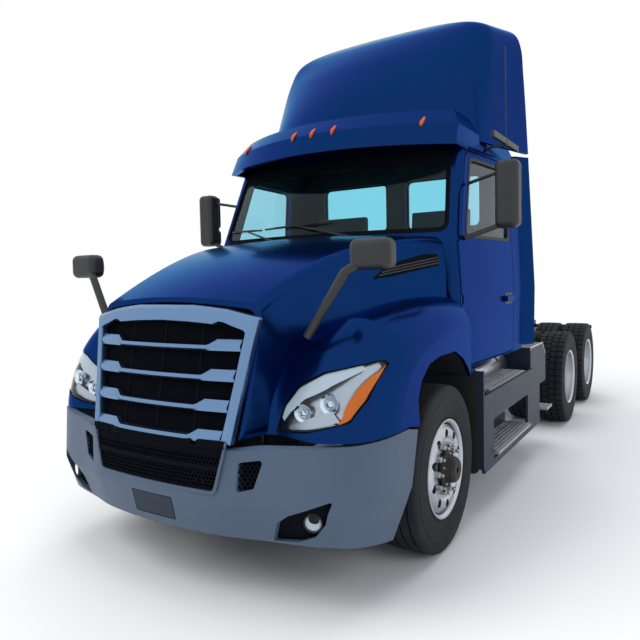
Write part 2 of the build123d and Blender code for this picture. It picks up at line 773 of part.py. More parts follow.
# ---------------------------------------------------------------- frame
RAIL_INNER = RAIL_OUTER_HALF - RAIL_FLANGE
RAIL_SECTION = [  # (x, z) of the left channel
    (RAIL_OUTER_HALF, RAIL_BOTTOM),
    (RAIL_OUTER_HALF, RAIL_TOP),
    (RAIL_INNER, RAIL_TOP),
    (RAIL_INNER, RAIL_TOP - RAIL_WEB),
    (RAIL_OUTER_HALF - RAIL_WEB, RAIL_TOP - RAIL_WEB),
    (RAIL_OUTER_HALF - RAIL_WEB, RAIL_BOTTOM + RAIL_WEB),
    (RAIL_INNER, RAIL_BOTTOM + RAIL_WEB),
    (RAIL_INNER, RAIL_BOTTOM),
]
HORN_TOP = 625.0
HORN = [  # (station, z) of the drop bracket that carries the bumper and the radiator
    (90.0, 530.0),
    (700.0, 530.0),
    (745.0, 640.0),
    (745.0, RAIL_BOTTOM),
    (RAIL_FRONT, RAIL_BOTTOM),
    (RAIL_FRONT, HORN_TOP),
    (90.0, HORN_TOP),
]
HORN_THICK = 60.0
CROSS_STATIONS = [3150.0, 4250.0, BOGIE, 6500.0, RAIL_END - 65]
CROSS_HEIGHT = 180.0
CROSS_DEPTH = 70.0
CAB_MOUNTS = [1960.0, 3080.0]  # stations of the blocks that carry the cab
CAB_BOTTOM = CAB_ROWS[0][0]
TANK_INNER = 515.0
TANK_BRACKETS = {1: [2420.0, 3120.0], -1: [2420.0, 3120.0]}
FLAP_STATION = 6985.0

rail = front_prism(RAIL_SECTION, RAIL_FRONT, RAIL_END)
horn = side_prism(HORN, RAIL_OUTER_HALF - HORN_THICK, RAIL_OUTER_HALF)
beam_zone = front_prism(rectangle(-430.0, 530.0, 430.0, HORN_TOP), 20, 120)
beam_seat = bumper_solid(BUMPER_WALL + SEAT_GAP, 20, 20)
with BuildPart() as bumper_beam:
    add(beam_zone)
    add(beam_seat, mode=Mode.INTERSECT)
with BuildPart() as hinge_lugs:
    for side in (-1, 1):
        offset_x = side * (HINGE_ARM_WIDTH + HINGE_LUG_THICK + 2) / 2
        with BuildSketch(Plane.YZ.offset(HINGE_HALF + offset_x - HINGE_LUG_THICK / 2)):
            with Locations((y_at(HINGE_STATION), HINGE_Z)):
                Circle(HINGE_LUG_RADIUS)
            with Locations((y_at(HINGE_STATION), (HINGE_Z + HORN_TOP) / 2 - 5)):
                Rectangle(2 * HINGE_LUG_RADIUS, HINGE_Z - HORN_TOP + 10)
        extrude(amount=HINGE_LUG_THICK)
    add(beam_seat, mode=Mode.INTERSECT)
with BuildPart() as left_side_frame:
    add(rail)
    add(horn)
    add(hinge_lugs.part)
    with BuildSketch(Plane.YZ.offset(arm_low - HINGE_LUG_THICK)):
        with Locations((y_at(HINGE_STATION), HINGE_Z)):
            Circle(HINGE_PIN_RADIUS)
    extrude(amount=HINGE_ARM_WIDTH + 2 * HINGE_LUG_THICK)
    for station in CAB_MOUNTS:
        with Locations(place((RAIL_OUTER_HALF + RAIL_INNER) / 2, station, RAIL_TOP)):
            Box(RAIL_FLANGE, 120, CAB_BOTTOM - RAIL_TOP, align=(Align.CENTER, Align.CENTER, Align.MIN))
    for station in TANK_BRACKETS[1]:
        with Locations(place(RAIL_OUTER_HALF, station, 700)):
            Box(TANK_INNER - RAIL_OUTER_HALF, 70, 460, align=(Align.MIN, Align.CENTER, Align.CENTER))
    with Locations(place(RAIL_OUTER_HALF, FLAP_STATION, RAIL_TOP - 80)):
        Box(760, 30, 50, align=(Align.MIN, Align.CENTER, Align.CENTER))
with BuildPart() as frame:
    add(left_side_frame.part)
    add(mirror(left_side_frame.part, about=Plane.YZ))
    for station in CROSS_STATIONS:
        with Locations(place(0, station, (RAIL_TOP + RAIL_BOTTOM) / 2)):
            Box(2 * (RAIL_OUTER_HALF - RAIL_WEB), CROSS_DEPTH, CROSS_HEIGHT)
    add(bumper_beam.part)
export("frame", frame.part)

# ---------------------------------------------------------------- front axle and steering
BEAM_HALF_DEPTH = 45.0
BOSS_RADIUS = 45.0
BOSS_HEIGHT = 110.0
EAR_THICK = 40.0
KNUCKLE_WEB = 984.0  # x of the web's inner face
KNUCKLE_WEB_THICK = 26.0
SPINDLE_RADIUS = 35.0
SPINDLE_END = 1195.0
STEER_ARM = 150.0  # from the kingpin back to the tie rod's pin
TIE_PIN_RADIUS = 12.0
TIE_ROD_RADIUS = 16.0
TIE_EYE_RADIUS = 26.0
TIE_EYE_HEIGHT = 34.0
SPRING_HALF = (RAIL_OUTER_HALF + RAIL_INNER) / 2
SPRING_WIDTH = 80.0
SPRING_THICK = 32.0
SPRING_LOW = 457.0
SPRING_REACH = 500.0
SPRING_END_Z = 600.0

AXLE_BEAM = mirrored(
    [
        (300.0, 375.0),
        (560.0, 375.0),
        (780.0, 455.0),
        (KINGPIN_HALF, 460.0),
        (KINGPIN_HALF, 552.0),
        (800.0, 552.0),
        (590.0, SPRING_LOW - SEAT_GAP),
        (300.0, SPRING_LOW - SEAT_GAP),
    ]
)
axle_beam = front_prism(AXLE_BEAM, FRONT_AXLE - BEAM_HALF_DEPTH, FRONT_AXLE + BEAM_HALF_DEPTH)
with BuildPart() as front_axle:
    add(axle_beam)
    with Locations(place(KINGPIN_HALF, FRONT_AXLE, AXLE_Z), place(-KINGPIN_HALF, FRONT_AXLE, AXLE_Z)):
        Cylinder(BOSS_RADIUS, BOSS_HEIGHT)
        Cylinder(KINGPIN_RADIUS, BOSS_HEIGHT + 2 * EAR_THICK + 6)
export("front_axle", front_axle.part)

EAR_OFFSET = BOSS_HEIGHT / 2 + 2 + EAR_THICK / 2
ARM_Z = AXLE_Z - EAR_OFFSET  # middle of the lower ear and the steering arm
TIE_Z = ARM_Z - EAR_THICK / 2 - 4 - TIE_EYE_HEIGHT / 2
with BuildPart() as left_knuckle:
    with Locations(
        place(KINGPIN_HALF, FRONT_AXLE, AXLE_Z + EAR_OFFSET),
        place(KINGPIN_HALF, FRONT_AXLE, ARM_Z),
    ):
        Cylinder(BOSS_RADIUS, EAR_THICK)
        Box(
            KNUCKLE_WEB + 5 - KINGPIN_HALF,
            2 * BOSS_RADIUS,
            EAR_THICK,
            align=(Align.MIN, Align.CENTER, Align.CENTER),
        )
    with Locations(place(KNUCKLE_WEB, FRONT_AXLE, AXLE_Z)):
        Box(
            KNUCKLE_WEB_THICK,
            2 * BOSS_RADIUS,
            2 * EAR_OFFSET + EAR_THICK,
            align=(Align.MIN, Align.CENTER, Align.CENTER),
        )
    with BuildSketch(Plane.YZ.offset(KNUCKLE_WEB)):
        with Locations((y_at(FRONT_AXLE), AXLE_Z)):
            Circle(SPINDLE_RADIUS)
    extrude(amount=SPINDLE_END - KNUCKLE_WEB)
    with Locations(place(KINGPIN_HALF, FRONT_AXLE, ARM_Z)):
        Box(44, STEER_ARM, EAR_THICK, align=(Align.CENTER, Align.MIN, Align.CENTER))
    with Locations(place(KINGPIN_HALF, FRONT_AXLE + STEER_ARM, ARM_Z)):
        Cylinder(22, EAR_THICK)
    with Locations(place(KINGPIN_HALF, FRONT_AXLE + STEER_ARM, TIE_Z)):
        Cylinder(TIE_PIN_RADIUS, TIE_EYE_HEIGHT + 12)
    with Locations(
        place(KINGPIN_HALF, FRONT_AXLE, AXLE_Z + EAR_OFFSET),
        place(KINGPIN_HALF, FRONT_AXLE, ARM_Z),
    ):
        Cylinder(KINGPIN_RADIUS + PIN_CLEARANCE, EAR_THICK + 1, mode=Mode.SUBTRACT)
export("left_knuckle", left_knuckle.part)
export("right_knuckle", mirror(left_knuckle.part, about=Plane.YZ))

with BuildPart() as tie_rod:
    with BuildSketch(Plane.YZ.offset(TIE_EYE_RADIUS / 2 - KINGPIN_HALF)):
        with Locations((y_at(FRONT_AXLE + STEER_ARM), TIE_Z)):
            Circle(TIE_ROD_RADIUS)
    extrude(amount=2 * KINGPIN_HALF - TIE_EYE_RADIUS)
    with Locations(
        place(KINGPIN_HALF, FRONT_AXLE + STEER_ARM, TIE_Z),
        place(-KINGPIN_HALF, FRONT_AXLE + STEER_ARM, TIE_Z),
    ):
        Cylinder(TIE_EYE_RADIUS, TIE_EYE_HEIGHT)
        Cylinder(TIE_PIN_RADIUS + PIN_CLEARANCE, TIE_EYE_HEIGHT + 1, mode=Mode.SUBTRACT)
export("tie_rod", tie_rod.part)

# ---------------------------------------------------------------- drive axles and shafts
DRIVE_TUBE_RADIUS = 70.0
DRIVE_TUBE_HALF = 700.0
DRIVE_BOWL_RADIUS = 215.0
DRIVE_SPINDLE_RADIUS = 40.0
DRIVE_SPINDLE_END = 1040.0
SHAFT_RADIUS = 48.0
SHAFT_GAP = 3.2  # between the sloping shaft and the gearbox
GEARBOX_REAR = 2760.0
GEARBOX_OUT_Z = 735.0
AXLE_IN_Z = 600.0
forward_station = DRIVE_STATIONS["forward"]
rear_station = DRIVE_STATIONS["rear"]
main_shaft = rod(
    (0, GEARBOX_REAR + SHAFT_GAP, GEARBOX_OUT_Z),
    (0, forward_station - 180, AXLE_IN_Z),
    SHAFT_RADIUS,
)
short_shaft = rod((0, forward_station + 150, AXLE_IN_Z), (0, rear_station - 180, AXLE_Z + 30), SHAFT_RADIUS)
with BuildPart() as drive_axles:
    for station in DRIVE_STATIONS.values():
        with BuildSketch(Plane.YZ.offset(-DRIVE_TUBE_HALF)):
            with Locations((y_at(station), AXLE_Z)):
                Circle(DRIVE_TUBE_RADIUS)
        extrude(amount=2 * DRIVE_TUBE_HALF)
        with BuildSketch(Plane.YZ.offset(-DRIVE_SPINDLE_END)):
            with Locations((y_at(station), AXLE_Z)):
                Circle(DRIVE_SPINDLE_RADIUS)
        extrude(amount=2 * DRIVE_SPINDLE_END)
        with Locations(place(0, station, AXLE_Z + 20)):
            Sphere(DRIVE_BOWL_RADIUS)
    add(main_shaft)
    add(short_shaft)
export("drive_axles", drive_axles.part)

# ---------------------------------------------------------------- suspension
ARM_THICK = 60.0
ARM_REACH = (-470.0, 400.0)  # of a trailing arm, ahead of its axle and behind it
ARM_TOP = AXLE_Z - DRIVE_TUBE_RADIUS - SEAT_GAP
AIR_SPRING_RADIUS = 110.0
AIR_SPRING_BACK = 330.0
with BuildPart() as left_leaf:
    with BuildSketch(Plane.YZ.offset(SPRING_HALF - SPRING_WIDTH / 2)):
        with BuildLine():
            low = ThreePointArc(
                (y_at(FRONT_AXLE - SPRING_REACH), SPRING_END_Z),
                (y_at(FRONT_AXLE), SPRING_LOW),
                (y_at(FRONT_AXLE + SPRING_REACH), SPRING_END_Z),
            )
            high = ThreePointArc(
                (y_at(FRONT_AXLE + SPRING_REACH), SPRING_END_Z + SPRING_THICK),
                (y_at(FRONT_AXLE), SPRING_LOW + SPRING_THICK),
                (y_at(FRONT_AXLE - SPRING_REACH), SPRING_END_Z + SPRING_THICK),
            )
            Line(low @ 1, high @ 0)
            Line(high @ 1, low @ 0)
        make_face()
    extrude(amount=SPRING_WIDTH)
    for end in (-1, 1):
        with Locations(place(SPRING_HALF, FRONT_AXLE + end * (SPRING_REACH - 20), RAIL_BOTTOM)):
            Box(
                SPRING_WIDTH + 8,
                70,
                RAIL_BOTTOM - SPRING_END_Z - 10,
                align=(Align.CENTER, Align.CENTER, Align.MAX),
            )
with BuildPart() as left_arms:
    for station in DRIVE_STATIONS.values():
        with Locations(place(SPRING_HALF, station + ARM_REACH[0], ARM_TOP)):
            Box(
                SPRING_WIDTH,
                ARM_REACH[1] - ARM_REACH[0],
                ARM_THICK,
                align=(Align.CENTER, Align.MIN, Align.MAX),
            )
            Box(
                SPRING_WIDTH + 8,
                100,
                RAIL_BOTTOM - ARM_TOP,
                align=(Align.CENTER, Align.CENTER, Align.MIN),
            )
with BuildPart() as suspension_arms:
    for piece in (left_leaf.part, left_arms.part):
        add(piece)
        add(mirror(piece, about=Plane.YZ))
export("suspension_arms", suspension_arms.part)

with BuildPart() as air_springs:
    for station in DRIVE_STATIONS.values():
        for side in (-1, 1):
            with Locations(place(side * SPRING_HALF, station + AIR_SPRING_BACK, ARM_TOP)):
                Cylinder(
                    AIR_SPRING_RADIUS * 0.62,
                    RAIL_BOTTOM - ARM_TOP,
                    align=(Align.CENTER, Align.CENTER, Align.MIN),
                )
            with Locations(place(side * SPRING_HALF, station + AIR_SPRING_BACK, ARM_TOP + 110)):
                Cylinder(
                    AIR_SPRING_RADIUS,
                    RAIL_BOTTOM - ARM_TOP - 120,
                    align=(Align.CENTER, Align.CENTER, Align.MIN),
                )
export("air_springs", air_springs.part)

# ---------------------------------------------------------------- engine, gearbox, radiator
ENGINE_SECTION = mirrored(
    [(290.0, 560.0), (290.0, RAIL_TOP), (385.0, RAIL_TOP), (385.0, 1500.0), (250.0, 1630.0)]
)
ENGINE_FRONT = 620.0
ENGINE_REAR = 1690.0
RADIATOR_FRONT = 310.0
RADIATOR_DEPTH = 110.0
GEARBOX_TABLE = [(ENGINE_REAR, 600.0, 480.0), (2100.0, 500.0, 400.0), (GEARBOX_REAR, 300.0, 260.0)]
engine_block = front_prism(ENGINE_SECTION, ENGINE_FRONT, ENGINE_REAR)
with BuildPart() as gearbox:
    for station, width, height in GEARBOX_TABLE:
        with BuildSketch(Plane.XZ.offset(-y_at(station))):
            with Locations((0, GEARBOX_OUT_Z + (600 - width) / 12)):
                RectangleRounded(width, height, 60)
    loft(ruled=True)
with BuildPart() as powertrain:
    add(engine_block)
    add(gearbox.part)
export("engine_and_gearbox", powertrain.part)

radiator_block = front_prism(
    rectangle(-430.0, HORN_TOP, 430.0, 1400.0), RADIATOR_FRONT, RADIATOR_FRONT + RADIATOR_DEPTH
)
with BuildPart() as radiator:
    add(radiator_block)
    with BuildSketch(Plane.XZ.offset(-y_at(RADIATOR_FRONT))):
        with Locations((0, (HORN_TOP + 1400) / 2)):
            Rectangle(760, 700)
    extrude(amount=-20, mode=Mode.SUBTRACT)
export("radiator", radiator.part)

# ---------------------------------------------------------------- wheels and tyres
RIM_WALL = 13.0
TYRE_GAP = 0.3
RIM_SHARE = 0.86  # of the tyre's width, between the rim's lips
DISC_THICK = 25.0
HAND_HOLES = 10
HAND_HOLE_RADIUS = 27.0
HAND_HOLE_CIRCLE = 205.0
HAND_HOLE_EDGE = 10.0  # of disc left round a hand hole
FRONT_HUB_RADIUS = 105.0
DRIVE_HUB_RADIUS = 125.0
DRUM_RADIUS = 212.0
HUB_FLANGE_RADIUS = 85.0
HUB_FLANGE_THICK = 37.0


def tyre(x, station):
    """A road tyre's solid, centred on x, with its axle along X."""
    lip = RIM_DIAMETER / 2 + TYRE_GAP
    bead = lip - RIM_WALL
    outer = TYRE_DIAMETER / 2
    half = TYRE_WIDTH / 2
    heel = half * RIM_SHARE - TYRE_GAP
    with BuildPart() as body:
        with BuildSketch(Plane.XZ.offset(-y_at(station))):
            with BuildLine():
                wall = ThreePointArc(
                    (x + heel, AXLE_Z + lip),
                    (x + half, AXLE_Z + (lip + outer) / 2),
                    (x + half * 0.9, AXLE_Z + outer - 12),
                )
                other = ThreePointArc(
                    (x - half * 0.9, AXLE_Z + outer - 12),
                    (x - half, AXLE_Z + (lip + outer) / 2),
                    (x - heel, AXLE_Z + lip),
                )
                Polyline(
                    wall @ 1,
                    (x + half * 0.78, AXLE_Z + outer),
                    (x - half * 0.78, AXLE_Z + outer),
                    other @ 0,
                )
                Polyline(
                    other @ 1,
                    (x - heel, AXLE_Z + bead),
                    (x + heel, AXLE_Z + bead),
                    wall @ 0,
                )
            make_face()
        revolve(axis=Axis((x, y_at(station), AXLE_Z), (1, 0, 0)))
    return body.part


def ring(x_from, x_to, inner, outer, station):
    """A plain ring about an axle, between two places on it."""
    with BuildPart() as body:
        with BuildSketch(Plane.YZ.offset(x_from)):
            with Locations((y_at(station), AXLE_Z)):
                Circle(outer)
                Circle(inner, mode=Mode.SUBTRACT)
        extrude(amount=x_to - x_from)
    return body.part


def rim(x, disc_x, hub_radius, station):
    """A wheel centred on x: a barrel with lips, and a dished disc with hand holes."""
    half = TYRE_WIDTH / 2 * RIM_SHARE
    lip = RIM_DIAMETER / 2
    seat = lip - RIM_WALL
    web = DISC_THICK / 2
    knee = HAND_HOLE_CIRCLE + HAND_HOLE_RADIUS + HAND_HOLE_EDGE
    join = min(max(disc_x, x - half + web), x + half - web)
    with BuildPart() as body:
        with BuildSketch(Plane.XZ.offset(-y_at(station))):
            with BuildLine():
                Polyline(
                    [
                        (x - half, AXLE_Z + lip),
                        (x - half, AXLE_Z + seat),
                        (x + half, AXLE_Z + seat),
                        (x + half, AXLE_Z + lip),
                        (x + half + RIM_WALL, AXLE_Z + lip),
                        (x + half + RIM_WALL, AXLE_Z + seat - RIM_WALL),
                        (x - half - RIM_WALL, AXLE_Z + seat - RIM_WALL),
                        (x - half - RIM_WALL, AXLE_Z + lip),
                    ],
                    close=True,
                )
            make_face()
            with BuildLine():
                Polyline(
                    (disc_x - web, AXLE_Z + hub_radius - 5),
                    (disc_x + web, AXLE_Z + hub_radius - 5),
                    (disc_x + web, AXLE_Z + knee),
                    (join + web, AXLE_Z + seat - 1),
                    (join - web, AXLE_Z + seat - 1),
                    (disc_x - web, AXLE_Z + knee),
                    close=True,
                )
            make_face()
        revolve(axis=Axis((x, y_at(station), AXLE_Z), (1, 0, 0)))
        with BuildSketch(Plane.YZ.offset(disc_x - DISC_THICK)):
            with Locations((y_at(station), AXLE_Z)):
                with PolarLocations(HAND_HOLE_CIRCLE, HAND_HOLES):
                    Circle(HAND_HOLE_RADIUS)
        extrude(amount=2 * DISC_THICK, mode=Mode.SUBTRACT)
    return body.part


FRONT_DISC = FRONT_TRACK_HALF + 116.0
FRONT_BORE = SPINDLE_RADIUS + PIN_CLEARANCE
HUB_CAP = FRONT_TRACK_HALF + 208.0
front_rim = rim(FRONT_TRACK_HALF, FRONT_DISC, FRONT_HUB_RADIUS, FRONT_AXLE)
HUB_START = KNUCKLE_WEB + KNUCKLE_WEB_THICK + 6
hub_barrel = ring(HUB_START, SPINDLE_END + 5, FRONT_BORE, FRONT_HUB_RADIUS, FRONT_AXLE)
front_drum = ring(FRONT_TRACK_HALF - 50, FRONT_TRACK_HALF + 40, DRUM_RADIUS - 14, DRUM_RADIUS, FRONT_AXLE)
drum_back = ring(FRONT_TRACK_HALF + 40, FRONT_TRACK_HALF + 52, FRONT_BORE, DRUM_RADIUS, FRONT_AXLE)
with BuildPart() as hub_cap:
    with BuildSketch(Plane.YZ.offset(SPINDLE_END + 5)):
        with Locations((y_at(FRONT_AXLE), AXLE_Z)):
            Circle(62)
    extrude(amount=HUB_CAP - SPINDLE_END - 5, taper=12)
with BuildPart() as left_front_wheel:
    add(front_rim)
    add(hub_barrel)
    add(front_drum)
    add(drum_back)
    add(hub_cap.part)
front_tyre = tyre(FRONT_TRACK_HALF, FRONT_AXLE)
export("left_front_wheel", left_front_wheel.part)
export("right_front_wheel", mirror(left_front_wheel.part, about=Plane.YZ))
export("left_front_tyre", front_tyre)
export("right_front_tyre", mirror(front_tyre, about=Plane.YZ))

DUAL_OFFSET = DUAL_SPACING / 2
DRIVE_BORE = DRIVE_SPINDLE_RADIUS + PIN_CLEARANCE
for axle_name, station in DRIVE_STATIONS.items():
    outer_rim = rim(DUAL_HALF + DUAL_OFFSET, DUAL_HALF + DISC_THICK / 2, DRIVE_HUB_RADIUS, station)
    inner_rim = rim(DUAL_HALF - DUAL_OFFSET, DUAL_HALF - DISC_THICK / 2, DRIVE_HUB_RADIUS, station)
    hub = ring(DUAL_HALF - 130, DRIVE_SPINDLE_END + 5, DRIVE_BORE, DRIVE_HUB_RADIUS, station)
    drum = ring(DUAL_HALF - 260, DUAL_HALF - 20, DRUM_RADIUS - 14, DRUM_RADIUS, station)
    with BuildPart() as dual_wheels:
        for piece in (outer_rim, inner_rim, hub, drum):
            add(piece)
        with BuildSketch(Plane.YZ.offset(DRIVE_SPINDLE_END + 3)):
            with Locations((y_at(station), AXLE_Z)):
                Circle(HUB_FLANGE_RADIUS)
        extrude(amount=HUB_FLANGE_THICK)
    with BuildPart() as dual_tyres:
        add(tyre(DUAL_HALF + DUAL_OFFSET, station))
        add(tyre(DUAL_HALF - DUAL_OFFSET, station))
    export(f"left_{axle_name}_wheels", dual_wheels.part)
    export(f"right_{axle_name}_wheels", mirror(dual_wheels.part, about=Plane.YZ))
    export(f"left_{axle_name}_tyres", dual_tyres.part)
    export(f"right_{axle_name}_tyres", mirror(dual_tyres.part, about=Plane.YZ))

# ---------------------------------------------------------------- visor, fairing, extenders
# columns: z, station of the middle, station of the corners, half width
VISOR_ROWS = [
    (2590.0, 1585.0, 1950.0, 1015.0),
    (2750.0, 1680.0, 2030.0, 1005.0),
    (2875.0, 1830.0, 2130.0, 940.0),
]
VISOR_REAR = 2500.0
VISOR_SKIN = 28.0
MARKERS = [  # x, station, z of the lamps on the visor
    (0.0, 1722.0, 2765.0),
    (174.0, 1727.0, 2765.0),
    (-174.0, 1727.0, 2765.0),
    (786.0, 1868.0, 2775.0),
    (-786.0, 1868.0, 2775.0),
]
MARKER_SIZE = (30.0, 60.0, 66.0)
# columns: z, station of the middle, station of the corners, half width at the corners,
# half width at the rear
FAIRING_ROWS = [
    (2710.0, 1930.0, 2500.0, 1000.0, 1190.0),
    (3100.0, 2140.0, 2660.0, 1000.0, 1170.0),
    (3420.0, 2390.0, 2785.0, 1000.0, 1150.0),
    (3600.0, 2570.0, 2862.0, 985.0, 1136.0),
    (3730.0, 2730.0, 2915.0, 945.0, 1093.0),
    (3800.0, 2845.0, 2945.0, 850.0, 1008.0),
    (3850.0, 2945.0, 2990.0, 700.0, 878.0),
    (3905.0, 3060.0, 3080.0, 470.0, 620.0),
    (3955.0, 3185.0, 3195.0, 240.0, 340.0),
]
FAIRING_SKIN = 28.0
FAIRING_REAR = 3290.0
FAIRING_CORNER = 60.0


def visor_solid(inset, drop=0.0):
    """The visor over the windshield, or the form inset within it."""
    last = len(VISOR_ROWS) - 1
    with BuildPart() as solid:
        for index, (z, middle, corner, half) in enumerate(VISOR_ROWS):
            level = z - (drop if index == 0 else 0) - (inset if index == last else 0)
            with BuildSketch(Plane.XY.offset(level)):
                with BuildLine():
                    front = ThreePointArc(
                        (inset - half, y_at(corner + inset)),
                        (0, y_at(middle + inset)),
                        (half - inset, y_at(corner + inset)),
                    )
                    Polyline(
                        front @ 1,
                        (half - inset, y_at(VISOR_REAR)),
                        (inset - half, y_at(VISOR_REAR)),
                        front @ 0,
                    )
                make_face()
        loft(ruled=True)
    return solid.part


def fairing_solid(inset, push=0.0, drop=0.0):
    """The roof fairing, or the form inset within it; push moves its rear rearwards."""
    last = len(FAIRING_ROWS) - 1
    rear_y = y_at(FAIRING_REAR + push)
    with BuildPart() as solid:
        for index, (z, middle, corner, front_half, rear_half) in enumerate(FAIRING_ROWS):
            level = z - (drop if index == 0 else inset * index / last)
            side = front_half - inset
            with BuildSketch(Plane.XY.offset(level)) as outline:
                with BuildLine():
                    front = ThreePointArc(
                        (-side, y_at(corner + inset)),
                        (0, y_at(middle + inset)),
                        (side, y_at(corner + inset)),
                    )
                    Polyline(
                        front @ 1,
                        (rear_half - inset, rear_y),
                        (inset - rear_half, rear_y),
                        front @ 0,
                    )
                make_face()
                fillet(outline.vertices().group_by(Axis.Y)[0], FAIRING_CORNER)
        loft(ruled=True)
    return solid.part


cab_seat = cab_solid(-SEAT_GAP)
visor_outer = visor_solid(0)
visor_inner = visor_solid(VISOR_SKIN, 40)
fairing_outer = fairing_solid(0)
fairing_inner = fairing_solid(FAIRING_SKIN, 30, 100)
visor_keep = visor_solid(-SEAT_GAP)
with BuildPart() as sun_visor:
    add(visor_outer)
    add(visor_inner, mode=Mode.SUBTRACT)
    add(cab_seat, mode=Mode.SUBTRACT)
export("sun_visor", sun_visor.part)
with BuildPart() as roof_fairing:
    add(fairing_outer)
    add(fairing_inner, mode=Mode.SUBTRACT)
    add(cab_seat, mode=Mode.SUBTRACT)
    add(visor_keep, mode=Mode.SUBTRACT)
export("roof_fairing", roof_fairing.part)

EXTENDER_REAR = 3340.0
# columns: z, x at the cab's corner, x at the panel's rear edge
EXTENDER_ROWS = [(1060.0, 1150.0, 1225.0), (1560.0, 1158.0, 1232.0), (2690.0, 1096.0, 1180.0)]
EXTENDER_THICK = 28.0
with BuildPart() as left_extender:
    for z, front_x, rear_x in EXTENDER_ROWS:
        with BuildSketch(Plane.XY.offset(z)):
            with BuildLine():
                Polyline(
                    (front_x, y_at(CAB_REAR + SEAT_GAP)),
                    (rear_x, y_at(EXTENDER_REAR)),
                    (rear_x - EXTENDER_THICK, y_at(EXTENDER_REAR)),
                    (front_x - EXTENDER_THICK - 10, y_at(CAB_REAR + SEAT_GAP)),
                    close=True,
                )
            make_face()
    loft(ruled=True)
with BuildPart() as side_extenders:
    add(left_extender.part)
    add(mirror(left_extender.part, about=Plane.YZ))
export("side_extenders", side_extenders.part)

# ---------------------------------------------------------------- cab interior
DASH = [  # (station, z), the dashboard seen from the side
    (1890.0, 1560.0),
    (2190.0, 1600.0),
    (2210.0, 1760.0),
    (2120.0, 1850.0),
    (1900.0, 1880.0),
]
DASH_HALF = 985.0
FLOOR_Z = CAB_BOTTOM + CAB_FLOOR_THICK
WHEEL_HUB = (500.0, 2330.0, 1830.0)  # of the steering wheel
STEERING_WHEEL_RADIUS = 225.0
STEERING_TILT = 55.0
SEAT_HALF = 500.0
dash_body = side_prism(DASH, -DASH_HALF, DASH_HALF, corner=20)
column = rod((500.0, 2150.0, 1690.0), (500.0, 2336.0, 1836.0), 30)
column_way = (0, sin(radians(STEERING_TILT)), cos(radians(STEERING_TILT)))
with BuildPart() as steering_rim:
    with BuildSketch(Plane(place(*WHEEL_HUB), x_dir=(1, 0, 0), z_dir=column_way)):
        Circle(STEERING_WHEEL_RADIUS)
        Circle(STEERING_WHEEL_RADIUS - 30, mode=Mode.SUBTRACT)
        Circle(60)
        for turn in (90, 210, 330):
            with Locations(Rotation(0, 0, turn)):
                Rectangle(STEERING_WHEEL_RADIUS - 20, 34, align=(Align.MIN, Align.CENTER))
    extrude(amount=26)
with BuildPart() as dashboard:
    add(dash_body)
    add(column)
    add(steering_rim.part)
    add(cab_inner, mode=Mode.INTERSECT)
export("dashboard", dashboard.part)

SEAT_SIDE = [  # (station, z) of a seat seen from the side
    (2420.0, 1330.0),
    (2420.0, 1520.0),
    (2860.0, 1500.0),
    (2930.0, 2060.0),
    (2950.0, 2250.0),
    (3050.0, 2250.0),
    (3040.0, 2040.0),
    (3000.0, 1370.0),
    (2900.0, 1330.0),
]
seat_body = side_prism(SEAT_SIDE, SEAT_HALF - 250, SEAT_HALF + 250, corner=30)
with BuildPart() as left_seat:
    add(seat_body)
    with Locations(place(SEAT_HALF, 2680, FLOOR_Z)):
        Box(320, 360, 1335 - FLOOR_Z, align=(Align.CENTER, Align.CENTER, Align.MIN))
with BuildPart() as seats:
    add(left_seat.part)
    add(mirror(left_seat.part, about=Plane.YZ))
export("seats", seats.part)

# ---------------------------------------------------------------- side fairings and steps
FAIRING_HALF = 1215.0
SIDE_PANEL_THICK = 22.0
SIDE_PANEL = [  # (station, z) of the left side fairing
    (1905.0, 300.0),
    (3600.0, 300.0),
    (3600.0, 760.0),
    (3350.0, 840.0),
    (1905.0, 840.0),
]
UPPER_STEP = (2120.0, 3150.0, 846.0)  # front station, rear station, z of the tread
LOWER_STEP = (2150.0, 3120.0, 400.0)
TREAD_THICK = 24.0
TREAD_BARS = 5
side_panel = side_prism(SIDE_PANEL, FAIRING_HALF - SIDE_PANEL_THICK, FAIRING_HALF)
fairing_front = front_prism(rectangle(700.0, 330.0, FAIRING_HALF, 1015.0), 1883, 1905)
step_mouth = side_prism(
    rectangle(LOWER_STEP[0] - 25, 350.0, LOWER_STEP[1] + 25, 640.0),
    FAIRING_HALF - 60,
    FAIRING_HALF + 20,
    corner=20,
)
with BuildPart() as left_side_fairing:
    add(side_panel)
    add(step_mouth, mode=Mode.SUBTRACT)
    add(fairing_front)
    with Locations(place(TANK_INNER + 100, 1894, 850)):
        Box(400, 22, 120, align=(Align.MIN, Align.CENTER, Align.CENTER))
with BuildPart() as side_fairings:
    add(left_side_fairing.part)
    add(mirror(left_side_fairing.part, about=Plane.YZ))
export("side_fairings", side_fairings.part)


def tread(x_from, x_to, step):
    """A step of lengthwise bars joined by cross bars."""
    front, rear, z = step
    bar = (x_to - x_from) / (2 * TREAD_BARS - 1)
    with BuildPart() as body:
        for index in range(TREAD_BARS):
            with Locations(place(x_from + 2 * index * bar, front, z)):
                Box(bar, rear - front, TREAD_THICK, align=(Align.MIN, Align.MIN, Align.MAX))
        for index in range(5):
            station = front + 15 + index * (rear - front - 30) / 4
            with Locations(place(x_from, station, z - 4)):
                Box(x_to - x_from, 30, TREAD_THICK - 4, align=(Align.MIN, Align.CENTER, Align.MAX))
    return body.part


